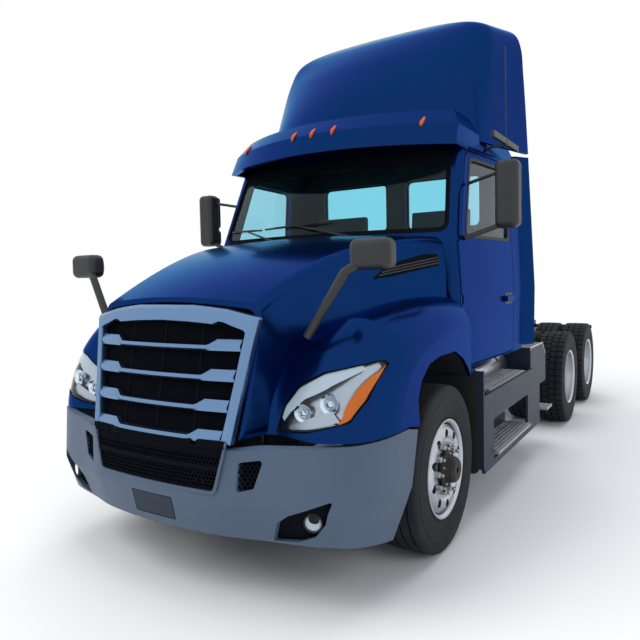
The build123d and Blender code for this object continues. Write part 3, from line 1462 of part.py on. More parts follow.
TANK_OUTER = 1000.0
STEP_PLATE = 12.0  # thickness of the plates a lower step hangs from
PLATE_LOW = LOWER_STEP[2] - TREAD_THICK
upper_tread = tread(TANK_OUTER + SEAT_GAP, FAIRING_HALF - SIDE_PANEL_THICK - SEAT_GAP, UPPER_STEP)
lower_tread = tread(TANK_OUTER + STEP_PLATE + 2 * SEAT_GAP, FAIRING_HALF + 30, LOWER_STEP)
rear_step = tread(1040.0, 1230.0, (3860.0, 4080.0, 385.0))
step_plates = [
    front_prism(
        rectangle(TANK_OUTER + SEAT_GAP, PLATE_LOW, TANK_OUTER + STEP_PLATE, 620.0),
        station,
        station + 40,
    )
    for station in (LOWER_STEP[0] + 60, LOWER_STEP[1] - 100)
]
step_strap = side_prism(rectangle(3900.0, 361.0, 3960.0, 640.0), 1040, 1052)
with BuildPart() as deck:
    with Locations(place(0, 3760, RAIL_TOP)):
        Box(2 * RAIL_OUTER_HALF, 720, 8, align=(Align.CENTER, Align.CENTER, Align.MIN))
with BuildPart() as left_treads:
    add(upper_tread)
    add(lower_tread)
    for plate in step_plates:
        add(plate)
    add(rear_step)
    add(step_strap)
with BuildPart() as treads:
    add(left_treads.part)
    add(mirror(left_treads.part, about=Plane.YZ))
    add(deck.part)
export("treads", treads.part)

# ---------------------------------------------------------------- tanks and boxes
TANK_BOTTOM = 380.0
TANK_TOP = 985.0
TANK_FRONT = 2170.0
TANK_REAR = 3290.0
TANK_CORNER = 110.0
AIR_TANK_RADIUS = 115.0
tank_body = front_prism(
    rectangle(TANK_INNER, TANK_BOTTOM, TANK_OUTER, TANK_TOP), TANK_FRONT, TANK_REAR, corner=TANK_CORNER
)
with BuildPart() as left_tanks:
    add(tank_body)
    with BuildSketch(Plane.XZ.offset(-y_at(4500))):
        with Locations((RAIL_OUTER_HALF + AIR_TANK_RADIUS + SEAT_GAP, 860)):
            Circle(AIR_TANK_RADIUS)
    extrude(amount=420)
with BuildPart() as tanks:
    add(left_tanks.part)
    add(mirror(left_tanks.part, about=Plane.YZ))
export("tanks", tanks.part)

BOX_SIDE = [(3345.0, 640.0), (3345.0, 1020.0), (3830.0, 1020.0), (3960.0, 900.0), (3960.0, 640.0)]
box_body = side_prism(BOX_SIDE, RAIL_OUTER_HALF, FAIRING_HALF - SIDE_PANEL_THICK - SEAT_GAP, corner=16)
with BuildPart() as equipment_boxes:
    add(box_body)
    add(mirror(box_body, about=Plane.YZ))
export("equipment_boxes", equipment_boxes.part)

# ---------------------------------------------------------------- mud guards and lamps
flap = front_prism(rectangle(640.0, 260.0, 1180.0, RAIL_TOP - 105), FLAP_STATION - 5, FLAP_STATION + 5)
splash = front_prism(rectangle(900.0, 300.0, 1180.0, 980.0), 1868, 1883 - SEAT_GAP, corner=40)
with BuildPart() as mud_guards:
    for piece in (flap, splash):
        add(piece)
        add(mirror(piece, about=Plane.YZ))
export("mud_guards", mud_guards.part)

with BuildPart() as marker_lamps:
    for marker in MARKERS:
        with Locations(place(*marker)):
            Box(*MARKER_SIZE)
    add(visor_keep, mode=Mode.SUBTRACT)
fog_lamp_zone = front_prism(FOG_POCKET, -100, 560, corner=18)
fog_front = bumper_solid(26)
with BuildPart() as fog_lamp:
    add(fog_lamp_zone)
    add(fog_front, mode=Mode.INTERSECT)
    add(fog_back, mode=Mode.SUBTRACT)
with BuildPart() as tail_lamp:
    with Locations(place(300, RAIL_END - 30, RAIL_TOP - 100)):
        Box(110, 30, 80, align=(Align.CENTER, Align.MIN, Align.CENTER))
with BuildPart() as chassis_lamps:
    add(marker_lamps.part)
    for lamp in (fog_lamp.part, tail_lamp.part):
        add(lamp)
        add(mirror(lamp, about=Plane.YZ))
export("chassis_lamps", chassis_lamps.part)

# ---------------------------------------------------------------- antenna
WHIP_BASE = (1176.0, 2620.0, 2665.0)
with BuildPart() as antenna:
    with Locations(place(*WHIP_BASE)):
        Cylinder(5, 760, align=(Align.CENTER, Align.CENTER, Align.MIN))
        Cylinder(16, 60, align=(Align.CENTER, Align.CENTER, Align.MIN))
        Box(160, 30, 16, align=(Align.MAX, Align.CENTER, Align.MIN))
    with Locations(place(1176.0, 2620.0, 2700.0)):
        Box(26, 700, 45)
    add(cab_seat, mode=Mode.SUBTRACT)
export("antenna", antenna.part)

# ---------------------------------------------------------------- fifth wheel
PLATE_HALF = 450.0
PLATE_FRONT = 430.0
PLATE_REAR = 560.0
PIVOT_HALF = 360.0
PIVOT_RADIUS = 25.0
PIVOT_LUG = 46.0
THROAT_HALF = 190.0
plate_bottom = FIFTH_WHEEL_TOP - FIFTH_PLATE_THICK
with BuildPart() as fifth_wheel_plate:
    with BuildSketch(Plane.XY.offset(plate_bottom)) as top:
        with BuildLine():
            Polyline(
                (-PLATE_HALF, y_at(FIFTH_STATION - 170)),
                (-250, y_at(FIFTH_STATION - PLATE_FRONT)),
                (250, y_at(FIFTH_STATION - PLATE_FRONT)),
                (PLATE_HALF, y_at(FIFTH_STATION - 170)),
                (PLATE_HALF, y_at(FIFTH_STATION + 330)),
                (THROAT_HALF + 120, y_at(FIFTH_STATION + PLATE_REAR)),
                (THROAT_HALF, y_at(FIFTH_STATION + PLATE_REAR)),
                (KINGPIN_BORE / 2 + 20, y_at(FIFTH_STATION + 90)),
                (-KINGPIN_BORE / 2 - 20, y_at(FIFTH_STATION + 90)),
                (-THROAT_HALF, y_at(FIFTH_STATION + PLATE_REAR)),
                (-THROAT_HALF - 120, y_at(FIFTH_STATION + PLATE_REAR)),
                (-PLATE_HALF, y_at(FIFTH_STATION + 330)),
                close=True,
            )
        make_face()
        with Locations((0, y_at(FIFTH_STATION))):
            Circle(KINGPIN_BORE / 2, mode=Mode.SUBTRACT)
    extrude(amount=FIFTH_PLATE_THICK)
    for side in (-1, 1):
        with BuildSketch(Plane.YZ.offset(side * PIVOT_HALF - 25)):
            with Locations((y_at(FIFTH_STATION), FIFTH_PIVOT_Z)):
                Circle(PIVOT_LUG)
            with Locations((y_at(FIFTH_STATION), (FIFTH_PIVOT_Z + plate_bottom) / 2 + 5)):
                Rectangle(2 * PIVOT_LUG, plate_bottom - FIFTH_PIVOT_Z + 10)
            with Locations((y_at(FIFTH_STATION), FIFTH_PIVOT_Z)):
                Circle(PIVOT_RADIUS + PIN_CLEARANCE, mode=Mode.SUBTRACT)
        extrude(amount=50)
export("fifth_wheel_plate", fifth_wheel_plate.part)

with BuildPart() as fifth_wheel_base:
    for side in (-1, 1):
        with BuildSketch(Plane.YZ.offset(side * PIVOT_HALF - 55)):
            with Locations((y_at(FIFTH_STATION), FIFTH_PIVOT_Z)):
                Circle(PIVOT_RADIUS)
        extrude(amount=110)
        for cheek in (-1, 1):
            with BuildSketch(Plane.YZ.offset(side * PIVOT_HALF + cheek * 40 - 10)):
                with Locations((y_at(FIFTH_STATION), FIFTH_PIVOT_Z)):
                    Circle(PIVOT_LUG - 6)
                with BuildLine():
                    Polyline(
                        (y_at(FIFTH_STATION - 160), RAIL_TOP),
                        (y_at(FIFTH_STATION + 160), RAIL_TOP),
                        (y_at(FIFTH_STATION + PIVOT_LUG - 6), FIFTH_PIVOT_Z),
                        (y_at(FIFTH_STATION - PIVOT_LUG + 6), FIFTH_PIVOT_Z),
                        close=True,
                    )
                make_face()
            extrude(amount=20)
        with Locations(place(side * PIVOT_HALF, FIFTH_STATION, RAIL_TOP)):
            Box(140, 420, 14, align=(Align.CENTER, Align.CENTER, Align.MIN))
export("fifth_wheel_base", fifth_wheel_base.part)
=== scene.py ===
"""The looks of the tractor unit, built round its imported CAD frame."""
from math import atan2, cos, hypot, pi, radians, sin, sqrt

import bpy
from mathutils import Matrix, Vector
from mathutils.bvhtree import BVHTree


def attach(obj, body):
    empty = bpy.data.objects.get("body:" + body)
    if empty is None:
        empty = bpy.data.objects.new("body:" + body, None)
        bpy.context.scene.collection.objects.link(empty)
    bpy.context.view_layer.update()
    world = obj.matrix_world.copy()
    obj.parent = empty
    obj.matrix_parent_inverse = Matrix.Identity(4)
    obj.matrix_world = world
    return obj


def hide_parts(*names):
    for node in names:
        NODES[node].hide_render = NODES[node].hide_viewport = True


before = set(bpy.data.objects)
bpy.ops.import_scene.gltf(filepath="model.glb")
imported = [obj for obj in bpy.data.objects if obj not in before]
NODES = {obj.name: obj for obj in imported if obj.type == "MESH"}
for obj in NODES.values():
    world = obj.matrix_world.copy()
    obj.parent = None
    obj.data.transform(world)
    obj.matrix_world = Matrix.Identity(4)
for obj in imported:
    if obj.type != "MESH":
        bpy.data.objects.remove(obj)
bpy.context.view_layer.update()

HALF_LENGTH = 3.525
TURN = 2 * pi


def P(x, station, z):
    """A point from its x, its station behind the bumper's front and its height."""
    return Vector((x, station - HALF_LENGTH, z))


# ---------- materials
def srgb(rgb):
    """A colour from its screen values, 0 to 255."""
    shares = [c / 255 for c in rgb]
    return tuple(c / 12.92 if c <= 0.04045 else ((c + 0.055) / 1.055) ** 2.4 for c in shares) + (1,)


def new_object(name, data):
    obj = bpy.data.objects.new(name, data)
    bpy.context.scene.collection.objects.link(obj)
    return obj


def new_material(name):
    mat = bpy.data.materials.new(name)
    mat.use_nodes = True
    return mat, mat.node_tree, mat.node_tree.nodes["Principled BSDF"]


def feed(tree, node, inputs):
    """Gives each named input a value, or a link from another node's output."""
    for key, value in inputs.items():
        if isinstance(value, bpy.types.NodeSocket):
            tree.links.new(value, node.inputs[key])
        else:
            node.inputs[key].default_value = value


def add_node(tree, kind, inputs, output=0, **settings):
    """A new node with its settings and inputs; gives one of its outputs."""
    node = tree.nodes.new("ShaderNode" + kind)
    for key, value in settings.items():
        setattr(node, key, value)
    feed(tree, node, inputs)
    return node.outputs[output]


def shader(name, colour, rough, metal, vary, scale, bump=0, bump_scale=60, rough_vary=0.06, coat=0,
        coat_rough=0.03, coat_ior=1.5, specks=0, sheen=0, ior=1.5, spec_tint=(1, 1, 1, 1), dirt=None,
        transmission=0, stretch=(1, 1, 1)):
    """A surface whose colour, gloss and relief vary in space; dirt is its colour, amount and scale."""
    mat, tree, bsdf = new_material(name)
    coords = add_node(tree, "TexCoord", {}, "Object")
    mapped = add_node(tree, "Mapping", {"Vector": coords, "Scale": stretch})

    def noise(size, detail=4, rough_in=0.55):
        inputs = {"Vector": mapped, "Scale": size, "Detail": detail, "Roughness": rough_in}
        return add_node(tree, "TexNoise", inputs, "Fac")

    def mixed(share, a, b):
        return add_node(tree, "Mix", {"Factor": share, "A": a, "B": b}, "Result", data_type="RGBA")

    def ranged(value, low, high, start=0, end=1):
        inputs = {"Value": value, "From Min": start, "From Max": end, "To Min": low, "To Max": high}
        return add_node(tree, "MapRange", inputs)

    def tinted(gain, lift=0):
        return [min(1, c * gain + lift) for c in colour] + [1]

    top = mixed(noise(scale), tinted(1 - vary), tinted(1 + vary))
    if specks:
        cells = add_node(tree, "TexVoronoi", {"Vector": coords, "Scale": 900}, "Color")
        top = mixed(ranged(cells, 0, specks), top, tinted(2.2, 0.01))
    if dirt:
        soil, amount, size = dirt
        top = mixed(ranged(noise(size, 8, 0.62), 0, amount, 0.5, 0.72), top, srgb(soil))
    gloss = ranged(noise(scale * 3.1 + 1.7, 6), max(0, rough - rough_vary), min(1, rough + rough_vary))
    feed(tree, bsdf, {"Base Color": top, "Roughness": gloss, "Metallic": metal, "Coat Weight": coat,
        "Coat Roughness": coat_rough, "Coat IOR": coat_ior, "Sheen Weight": sheen, "IOR": ior,
        "Specular Tint": spec_tint, "Transmission Weight": transmission})
    if bump:
        relief = {"Strength": bump, "Distance": 0.002, "Height": noise(bump_scale, 5)}
        feed(tree, bsdf, {"Normal": add_node(tree, "Bump", relief)})
    return mat


def clear(name, tint, rough=0, ior=1.45):
    """Glass or a clear lens."""
    return shader(name, tint, rough, 0, 0.03, 2, rough_vary=rough * 0.5, ior=ior, transmission=1)


# Each: name, colour, roughness, metallic, colour variation and its scale, relief and its scale.
# The paint's Specular Tint colours its reflections sky blue: a painted reflection of the sky.
PAINT = shader("blue_paint", (0.0038, 0.0255, 0.12), 0.22, 0.9, 0.08, 1.6, specks=0.04, coat=0.07,
    coat_rough=0.02, coat_ior=1.22, spec_tint=(0.12, 0.5, 0.94, 1), rough_vary=0.02, ior=1.3)
BUMPER = shader("slate_paint", (0.068, 0.102, 0.16), 0.5, 0, 0.05, 2.5, 0.03, 240, ior=1.4,
    dirt=((84, 88, 96), 0.12, 3))
SKIRT = shader("skirt_paint", (0.012, 0.024, 0.046), 0.48, 0, 0.08, 2.5, 0.03, 200, ior=1.33,
    dirt=((52, 60, 70), 0.12, 3))
# The bright metal's blue base colour is a painted reflection of the sky.
CHROME = shader("brushed_bright", (0.155, 0.265, 0.45), 0.24, 0.95, 0.05, 5, 0.03, 320, rough_vary=0.05,
    stretch=(1, 1, 6))
ALU = shader("polished_alu", (0.5, 0.53, 0.58), 0.3, 1, 0.05, 9, 0.03, 260, rough_vary=0.05,
    dirt=((110, 108, 104), 0.14, 5))
STEP_ALU = shader("step_alu", (0.36, 0.38, 0.41), 0.48, 0.6, 0.08, 14, 0.1, 160, rough_vary=0.08,
    dirt=((86, 86, 86), 0.3, 7))
BLACK = shader("black_plastic", (0.014, 0.015, 0.018), 0.46, 0, 0.2, 9, 0.12, 520,
    dirt=((70, 66, 60), 0.06, 3))
MESH_BLACK = shader("mesh_black", (0.004, 0.005, 0.008), 0.75, 0, 0.2, 9, ior=1.12)
GLOSS_BLACK = shader("gloss_black", (0.006, 0.006, 0.008), 0.16, 0, 0.2, 9, coat=0.6)
TRIM = shader("interior_plastic", (0.03, 0.032, 0.036), 0.6, 0, 0.15, 12, 0.3, 700)
CLOTH = shader("seat_cloth", (0.05, 0.055, 0.065), 0.9, 0, 0.3, 400, 0.6, 900, sheen=0.3)
RUBBER = shader("tyre_rubber", (0.0065, 0.0085, 0.0125), 0.74, 0, 0.2, 10, 0.25, 300, ior=1.35,
    dirt=((92, 84, 74), 0.12, 4))
SEAL = shader("seal_rubber", (0.008, 0.008, 0.009), 0.6, 0, 0.2, 20, 0.1, 300)
CHASSIS = shader("chassis_paint", (0.012, 0.013, 0.016), 0.45, 0.2, 0.2, 6, 0.1, 180,
    dirt=((88, 78, 66), 0.3, 4))
CAST = shader("cast_iron", (0.03, 0.03, 0.032), 0.66, 0.5, 0.25, 18, 0.5, 220, dirt=((104, 72, 50), 0.35, 9))
ENGINE = shader("engine_paint", (0.06, 0.062, 0.066), 0.5, 0.3, 0.2, 9, 0.3, 140, dirt=((48, 42, 36), 0.5, 3))
STEEL = shader("bright_steel", (0.42, 0.42, 0.43), 0.3, 1, 0.15, 20, 0.15, 300, rough_vary=0.15,
    dirt=((70, 48, 34), 0.5, 30))
REFLECTOR = shader("lamp_reflector", (0.82, 0.86, 0.92), 0.12, 1, 0.05, 30)
LAMP_WHITE = shader("lamp_white", (0.72, 0.8, 0.88), 0.25, 0, 0.06, 30, coat=0.6)
AMBER = shader("amber_lens", (1, 0.19, 0), 0.3, 0, 0.14, 60, 0.2, 260, ior=1.25, coat=0.1)
MARKER = shader("marker_lens", (0.62, 0.075, 0.012), 0.25, 0, 0.12, 70, 0.2, 260, ior=1.3, coat=0.2)
RED = shader("red_lens", (0.45, 0.008, 0.006), 0.16, 0, 0.12, 70, 0.2, 260, coat=0.8)
MIRROR_GLASS = shader("mirror_glass", (0.7, 0.74, 0.78), 0.03, 1, 0.02, 3, rough_vary=0.01)
LENS = clear("clear_lens", (0.9, 0.95, 1), rough=0.02, ior=1.22)
GLASS = clear("windshield_glass", (0.46, 0.8, 0.88), ior=1.22)
REAR_GLASS = clear("rear_window_glass", (0.44, 0.8, 0.9), ior=1.12)
SIDE_GLASS = clear("door_glass", (0.55, 0.74, 0.82), ior=1.2)

FINISH = (  # the CAD tyres are of rubber, and all nodes that aren't named here of aluminium
    (PAINT, "cab_shell sun_visor roof_fairing side_extenders hood left_door right_door"),
    (BUMPER, "front_bumper"),
    (SKIRT, "side_fairings equipment_boxes"),
    (CHROME, "grille_surround grille_slats"),
    (STEP_ALU, "treads"),
    (BLACK, "bumper_mesh antenna inner_fenders grille_mesh hood_mirrors left_mirror right_mirror"),
    (GLOSS_BLACK, "hood_vents"),
    (CHASSIS, "frame radiator hood_hinges"),
    (CAST, "front_axle suspension_arms drive_axles fifth_wheel_base fifth_wheel_plate"),
    (CAST, "left_knuckle right_knuckle tie_rod"),
    (ENGINE, "engine_and_gearbox"),
    (SEAL, "air_springs mud_guards"),
    (TRIM, "dashboard"),
    (CLOTH, "seats"),
    (MARKER, "chassis_lamps"),
    (LAMP_WHITE, "headlamps"),
    (GLASS, "cab_glass"),
    (SIDE_GLASS, "left_door_glass right_door_glass"),
)
finish_of = {name: mat for mat, names in FINISH for name in names.split()}
for name, obj in NODES.items():
    plain = RUBBER if name.endswith(("tyre", "tyres")) else ALU
    obj.data.materials.clear()
    obj.data.materials.append(finish_of.get(name, plain))

for name in ("cab_shell", "left_door", "right_door"):  # dark trim on the faces towards the inside
    mesh = NODES[name].data
    mesh.materials.append(TRIM)
    for face in mesh.polygons:
        middle, normal = face.center, face.normal
        inward = -normal.x * (1 if middle.x > 0 else -1)
        station = middle.y + HALF_LENGTH
        rear_wall = station > 3.1 and normal.y < -0.5
        front_wall = station < 2.3 and normal.y > 0.3 and middle.z < 2.85
        ceiling = normal.z < -0.3 and middle.z > 2.3
        ground = normal.z > 0.6 and middle.z < 1.3 and abs(middle.x) < 1
        if inward > 0.4 or rear_wall or front_wall or ceiling or ground:
            face.material_index = 1


# ---------- mesh helpers
def quads(rows, n, looped=False, closed=True, turned=False, ends=False):
    """Faces between rows of n points: looped joins the last row to the first, closed each row's ends,
    turned faces them the other way, and ends covers the first and the last row."""
    faces = []
    for r in range(rows if looped else rows - 1):
        q = (r + 1) % rows
        for i in range(n if closed else n - 1):
            k = (i + 1) % n
            faces.append((r * n + i, q * n + i, q * n + k, r * n + k) if turned
                else (r * n + i, r * n + k, q * n + k, q * n + i))
    if ends:
        first, last = tuple(range(n)), tuple(range((rows - 1) * n, rows * n))
        faces += [first, last[::-1]] if turned else [first[::-1], last]
    return faces


class Build:
    """Collects vertices and faces, so that one piece can hold many like solids."""

    def __init__(self):
        self.verts = []
        self.faces = []

    def add(self, verts, faces):
        start = len(self.verts)
        self.verts += [Vector(v) for v in verts]
        self.faces += [tuple(i + start for i in f) for f in faces]

    def mirrored(self):
        """The same solids over on the other side."""
        other = Build()
        other.add([(-x, y, z) for x, y, z in self.verts], [f[::-1] for f in self.faces])
        return other

    def both(self):
        """These solids and those on the other side."""
        twin = self.mirrored()
        self.add(twin.verts, twin.faces)
        return self

    def lathe(self, profile, segments, centre, shape=None, closed=True):
        """Turns (offset, radius) points about an axle along X; shape may move a point."""
        verts = []
        for j in range(segments):
            for i, (off, rad) in enumerate(profile):
                a = TURN * j / segments
                if shape:
                    off, rad, a = shape(i, j, off, rad)
                verts.append((centre[0] + off, centre[1] - rad * sin(a), centre[2] + rad * cos(a)))
        self.add(verts, quads(segments, len(profile), looped=True, closed=closed))

    def stack(self, lines, place, **how):
        """Outlines at their depths, joined by quads; place maps (a, b, depth) into space."""
        self.add([place(a, b, depth) for line, depth in lines for a, b in line],
            quads(len(lines), len(lines[0][0]), **how))

    def prism(self, outline, low, high, place, bevel=0):
        """A plate over a 2-D outline from low to high."""
        lines = [(outline, low), (outline, high)]
        if bevel:
            small = inset(outline, bevel)
            lines = [(small, low), (outline, low + bevel), (outline, high - bevel), (small, high)]
        self.stack(lines, place, ends=True)

    def block(self, middle, size, bevel):
        """A box with bevelled edges."""
        hx, hy, hz = [s / 2 for s in size]
        b = min(bevel, hx * 0.9, hy * 0.9, hz * 0.9)
        outline = [(hx, -hy + b), (hx, hy - b), (hx - b, hy), (-hx + b, hy), (-hx, hy - b), (-hx, -hy + b),
            (-hx + b, -hy), (hx - b, -hy)]
        self.prism(outline, -hz, hz, lambda x, y, z: middle + Vector((x, y, z)), bevel=b)

    def tube(self, points, radius, sides):
        """A round bar through points; radius may be a list."""
        radii = radius if isinstance(radius, list) else [radius] * len(points)
        verts, side = [], None
        for i, p in enumerate(points):
            ahead = (points[min(i + 1, len(points) - 1)] - points[max(i - 1, 0)]).normalized()
            if side is None:
                side = ahead.orthogonal().normalized()
            side = (side - ahead * side.dot(ahead)).normalized()
            other = ahead.cross(side)
            for k in range(sides):
                a = TURN * k / sides
                verts.append(p + (side * cos(a) + other * sin(a)) * radii[i])
        self.add(verts, quads(len(points), sides, ends=True))

    def piece(self, name, mat, body="chassis", stands_for=None, smooth=35, slot=None):
        """The mesh piece: it rides on a body and may stand for a CAD node; slot is not used. Solids are made
        for the left side, and mirrored in a piece of the right side."""
        made = self.mirrored() if name.startswith("right_") else self
        mesh = bpy.data.meshes.new(name)
        mesh.from_pydata([tuple(v) for v in made.verts], [], made.faces)
        mesh.validate()
        mesh.update()
        if smooth:
            mesh.shade_smooth()
            mesh.set_sharp_from_angle(angle=radians(smooth))
        mesh.materials.append(mat)
        obj = new_object(name, mesh)
        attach(obj, body)
        if stands_for:
            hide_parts(stands_for)


def on_doors(made, name, mat, smooth=35):
    """The same piece on both doors."""
    for side in ("left", "right"):
        made.piece(f"{side}_{name}", mat, f"{side}_door", smooth=smooth)


def builds(n):
    return [Build() for _ in range(n)]


def inset(outline, amount):
    """A closed outline moved inwards by a small amount."""
    pts = [Vector(p) for p in outline]
    after = pts[1:] + pts[:1]
    sign = 1 if sum(p.x * q.y - q.x * p.y for p, q in zip(pts, after)) > 0 else -1
    out = []
    for a, b, c in zip(pts[-1:] + pts, pts, after):
        n1, n2 = [Vector((-d.y, d.x)) * sign for d in ((b - a).normalized(), (c - b).normalized())]
        mid = n1 + n2
        if mid.length < 1e-6:
            mid = n1
        mid.normalize()
        out.append(tuple(b + mid * amount / max(0.4, mid.dot(n1))))
    return out


def nut(build, centre, radius, length, sides=6, turn=0):
    """A nut with a rounded end, standing out along X."""
    verts = []
    for off, rad in ((0, radius), (length * 0.8, radius), (length, radius * 0.72)):
        for k in range(sides):
            a = turn + TURN * k / sides
            verts.append((centre[0] + off, centre[1] + rad * cos(a), centre[2] + rad * sin(a)))
    build.add(verts, quads(3, sides) + [tuple(range(2 * sides, 3 * sides))])


# ---------- tyres
AXLE = 0.506  # the axles' height, and the tyres' radius
FRONT_X, DUAL_X, DUAL_GAP = 1.03, 0.92, 0.17
STATIONS = {"front": 1.285, "forward": 5.095, "rear": 6.415}
TREAD_EDGE, CROWN = 0.1215, 0.0035
WALL = [  # (offset from the tyre's middle, radius), from the bead to the shoulder
    (0.124, 0.2886), (0.1243, 0.3022), (0.13, 0.3042), (0.138, 0.312), (0.1392, 0.32), (0.1368, 0.324),
    (0.1384, 0.33), (0.1408, 0.346), (0.1425, 0.36), (0.1436, 0.378), (0.144, 0.4), (0.1436, 0.422),
    (0.1446, 0.426), (0.144, 0.432), (0.142, 0.436), (0.1408, 0.452), (0.1412, 0.464), (0.1384, 0.479),
    (0.1345, 0.49), (0.129, 0.4975),
]


def tyre(build, x, y, drive):
    """A road tyre: ribbed tread on the steered axle, lugs on the driven ones."""
    grooves = [0.068, 0, -0.068] if drive else [0.088, 0.03, -0.03, -0.088]
    width, depth = (0.01, 0.017) if drive else (0.011, 0.013)
    columns = [(TREAD_EDGE, 0)]
    for g in grooves:
        columns += [(g + width / 2 + 0.0015, 0), (g + width / 2 - 0.001, 1), (g - width / 2 + 0.001, 1),
            (g - width / 2 - 0.0015, 0)]
    columns.append((-TREAD_EDGE, 0))
    tread = [(o, AXLE - CROWN * (o / TREAD_EDGE) ** 2 - depth * low) for o, low in columns]
    profile = WALL + tread + [(-o, r) for o, r in reversed(WALL)]
    first, last = len(WALL), len(WALL) + len(tread)
    pitches = 46 if drive else 58
    cuts = [0, 0.3, 0.36, 0.44, 0.5, 0.8, 0.86, 0.94] if drive else [0, 0.42, 0.46, 0.5, 0.92, 0.96]
    cut_left, cut_right = ((2, 3), (6, 7)) if drive else ((2,), (5,))

    def shape(i, j, off, rad):
        pitch, k = divmod(j, len(cuts))
        in_cut = k in (cut_left if off > 0 else cut_right)
        if first <= i < last and in_cut and not columns[i - first][1]:
            if drive:
                rad -= 0.012
            elif abs(off) > 0.1:
                rad -= 0.004
        elif drive and in_cut and (first - 3 <= i < first or last <= i < last + 3):
            rad -= 0.009
        return off, rad, TURN * (pitch + cuts[k]) / pitches

    build.lathe(profile, pitches * len(cuts), (x, y, AXLE), shape)


# ---------- wheels
HAND_HOLES, HOLE_CIRCLE, HOLE_RADIUS, DISC_THICK = 10, 0.216, 0.0255, 0.012
STUDS, STUD_CIRCLE, HUB_BOLT_CIRCLE = 10, 0.1425, 0.094
LIP = [(0.1246, 0.2884), (0.125, 0.299), (0.1285, 0.3), (0.1335, 0.3), (0.1376, 0.2984), (0.1372, 0.29),
    (0.1325, 0.2815), (0.124, 0.2755), (0.1, 0.2735), (0.07, 0.269), (0.03, 0.26)]
DROP_CENTRE = [(-0.02, 0.27), (0.02, 0.27)]
FRONT_DISC = [(0.1, 0.128), (0.176, 0.128), (0.196, 0.14), (0.232, 0.14), (0.262, 0.112), (0.2745, 0.088)]
DUAL_DISC = [(0.1, 0), (0.176, 0), (0.2, 0.004), (0.232, 0.008), (0.262, 0.022), (0.2745, 0.05)]
FRONT_HUB = [(-0.1, 0.02), (-0.1, 0.098), (0.004, 0.098), (0.008, 0.112), (0.02, 0.112), (0.026, 0.096),
    (0.03, 0.082), (0.066, 0.076), (0.074, 0.066), (0.08, 0.062), (0.0795, 0.02)]
DRIVE_HUB = [(-0.16, 0.045), (-0.16, 0.11), (-0.012, 0.11), (-0.012, 0.1), (0.006, 0.112), (0.09, 0.104),
    (0.096, 0.112), (0.106, 0.112), (0.11, 0.098), (0.13, 0.06), (0.134, 0.0005)]


def about_axle(x, y, r, a):
    return x, y - r * sin(a), AXLE + r * cos(a)


def disc(build, x, y, contour):
    """A dished disc with round hand holes; contour gives (radius, offset) of its outer face."""

    def face(r):
        for (r0, o0), (r1, o1) in zip(contour, contour[1:]):
            if r <= r1 or (r1, o1) == contour[-1]:
                t = (r - r0) / (r1 - r0)
                t = t * t * (3 - 2 * t) if abs(o1 - o0) > 0.004 else t
                return o0 + (o1 - o0) * t

    r_low, r_high = HOLE_CIRCLE - HOLE_RADIUS - 0.012, HOLE_CIRCLE + HOLE_RADIUS + 0.012
    span, steps = pi / HAND_HOLES, 8
    corners = [(r_low, -span), (r_low, span), (r_high, span), (r_high, -span)]
    sector = [(r0 + (r1 - r0) * k / steps, a0 + (a1 - a0) * k / steps)
        for (r0, a0), (r1, a1) in zip(corners, corners[1:] + corners[:1]) for k in range(steps)]
    for lip, flip in ((0, False), (DISC_THICK, True)):
        for h in range(HAND_HOLES):
            solid = []
            for share, sunk in ((0, lip), (0.5, lip), (1, lip), (1, DISC_THICK / 2)):
                for r, a in sector:
                    px, py = r * cos(a) - HOLE_CIRCLE, r * sin(a)
                    d = hypot(px, py)
                    ux = HOLE_CIRCLE + px + (px / d * HOLE_RADIUS - px) * share
                    uy = py + (py / d * HOLE_RADIUS - py) * share
                    rad, turn = hypot(ux, uy), TURN * h / HAND_HOLES + atan2(uy, ux)
                    solid.append(about_axle(x + face(rad) - sunk, y, rad, turn))
            faces = quads(4, len(sector))
            build.add(solid, [f[::-1] for f in faces] if flip else faces)
    for start, end, n in ((contour[0][0], r_low, 6), (r_high, contour[-1][0], 4)):
        line = [start + (end - start) * t / n for t in range(n + 1)]
        rear = [(face(r) - DISC_THICK, r) for r in reversed(line)]
        build.lathe([(face(r), r) for r in line] + rear, 96, (x, y, AXLE))


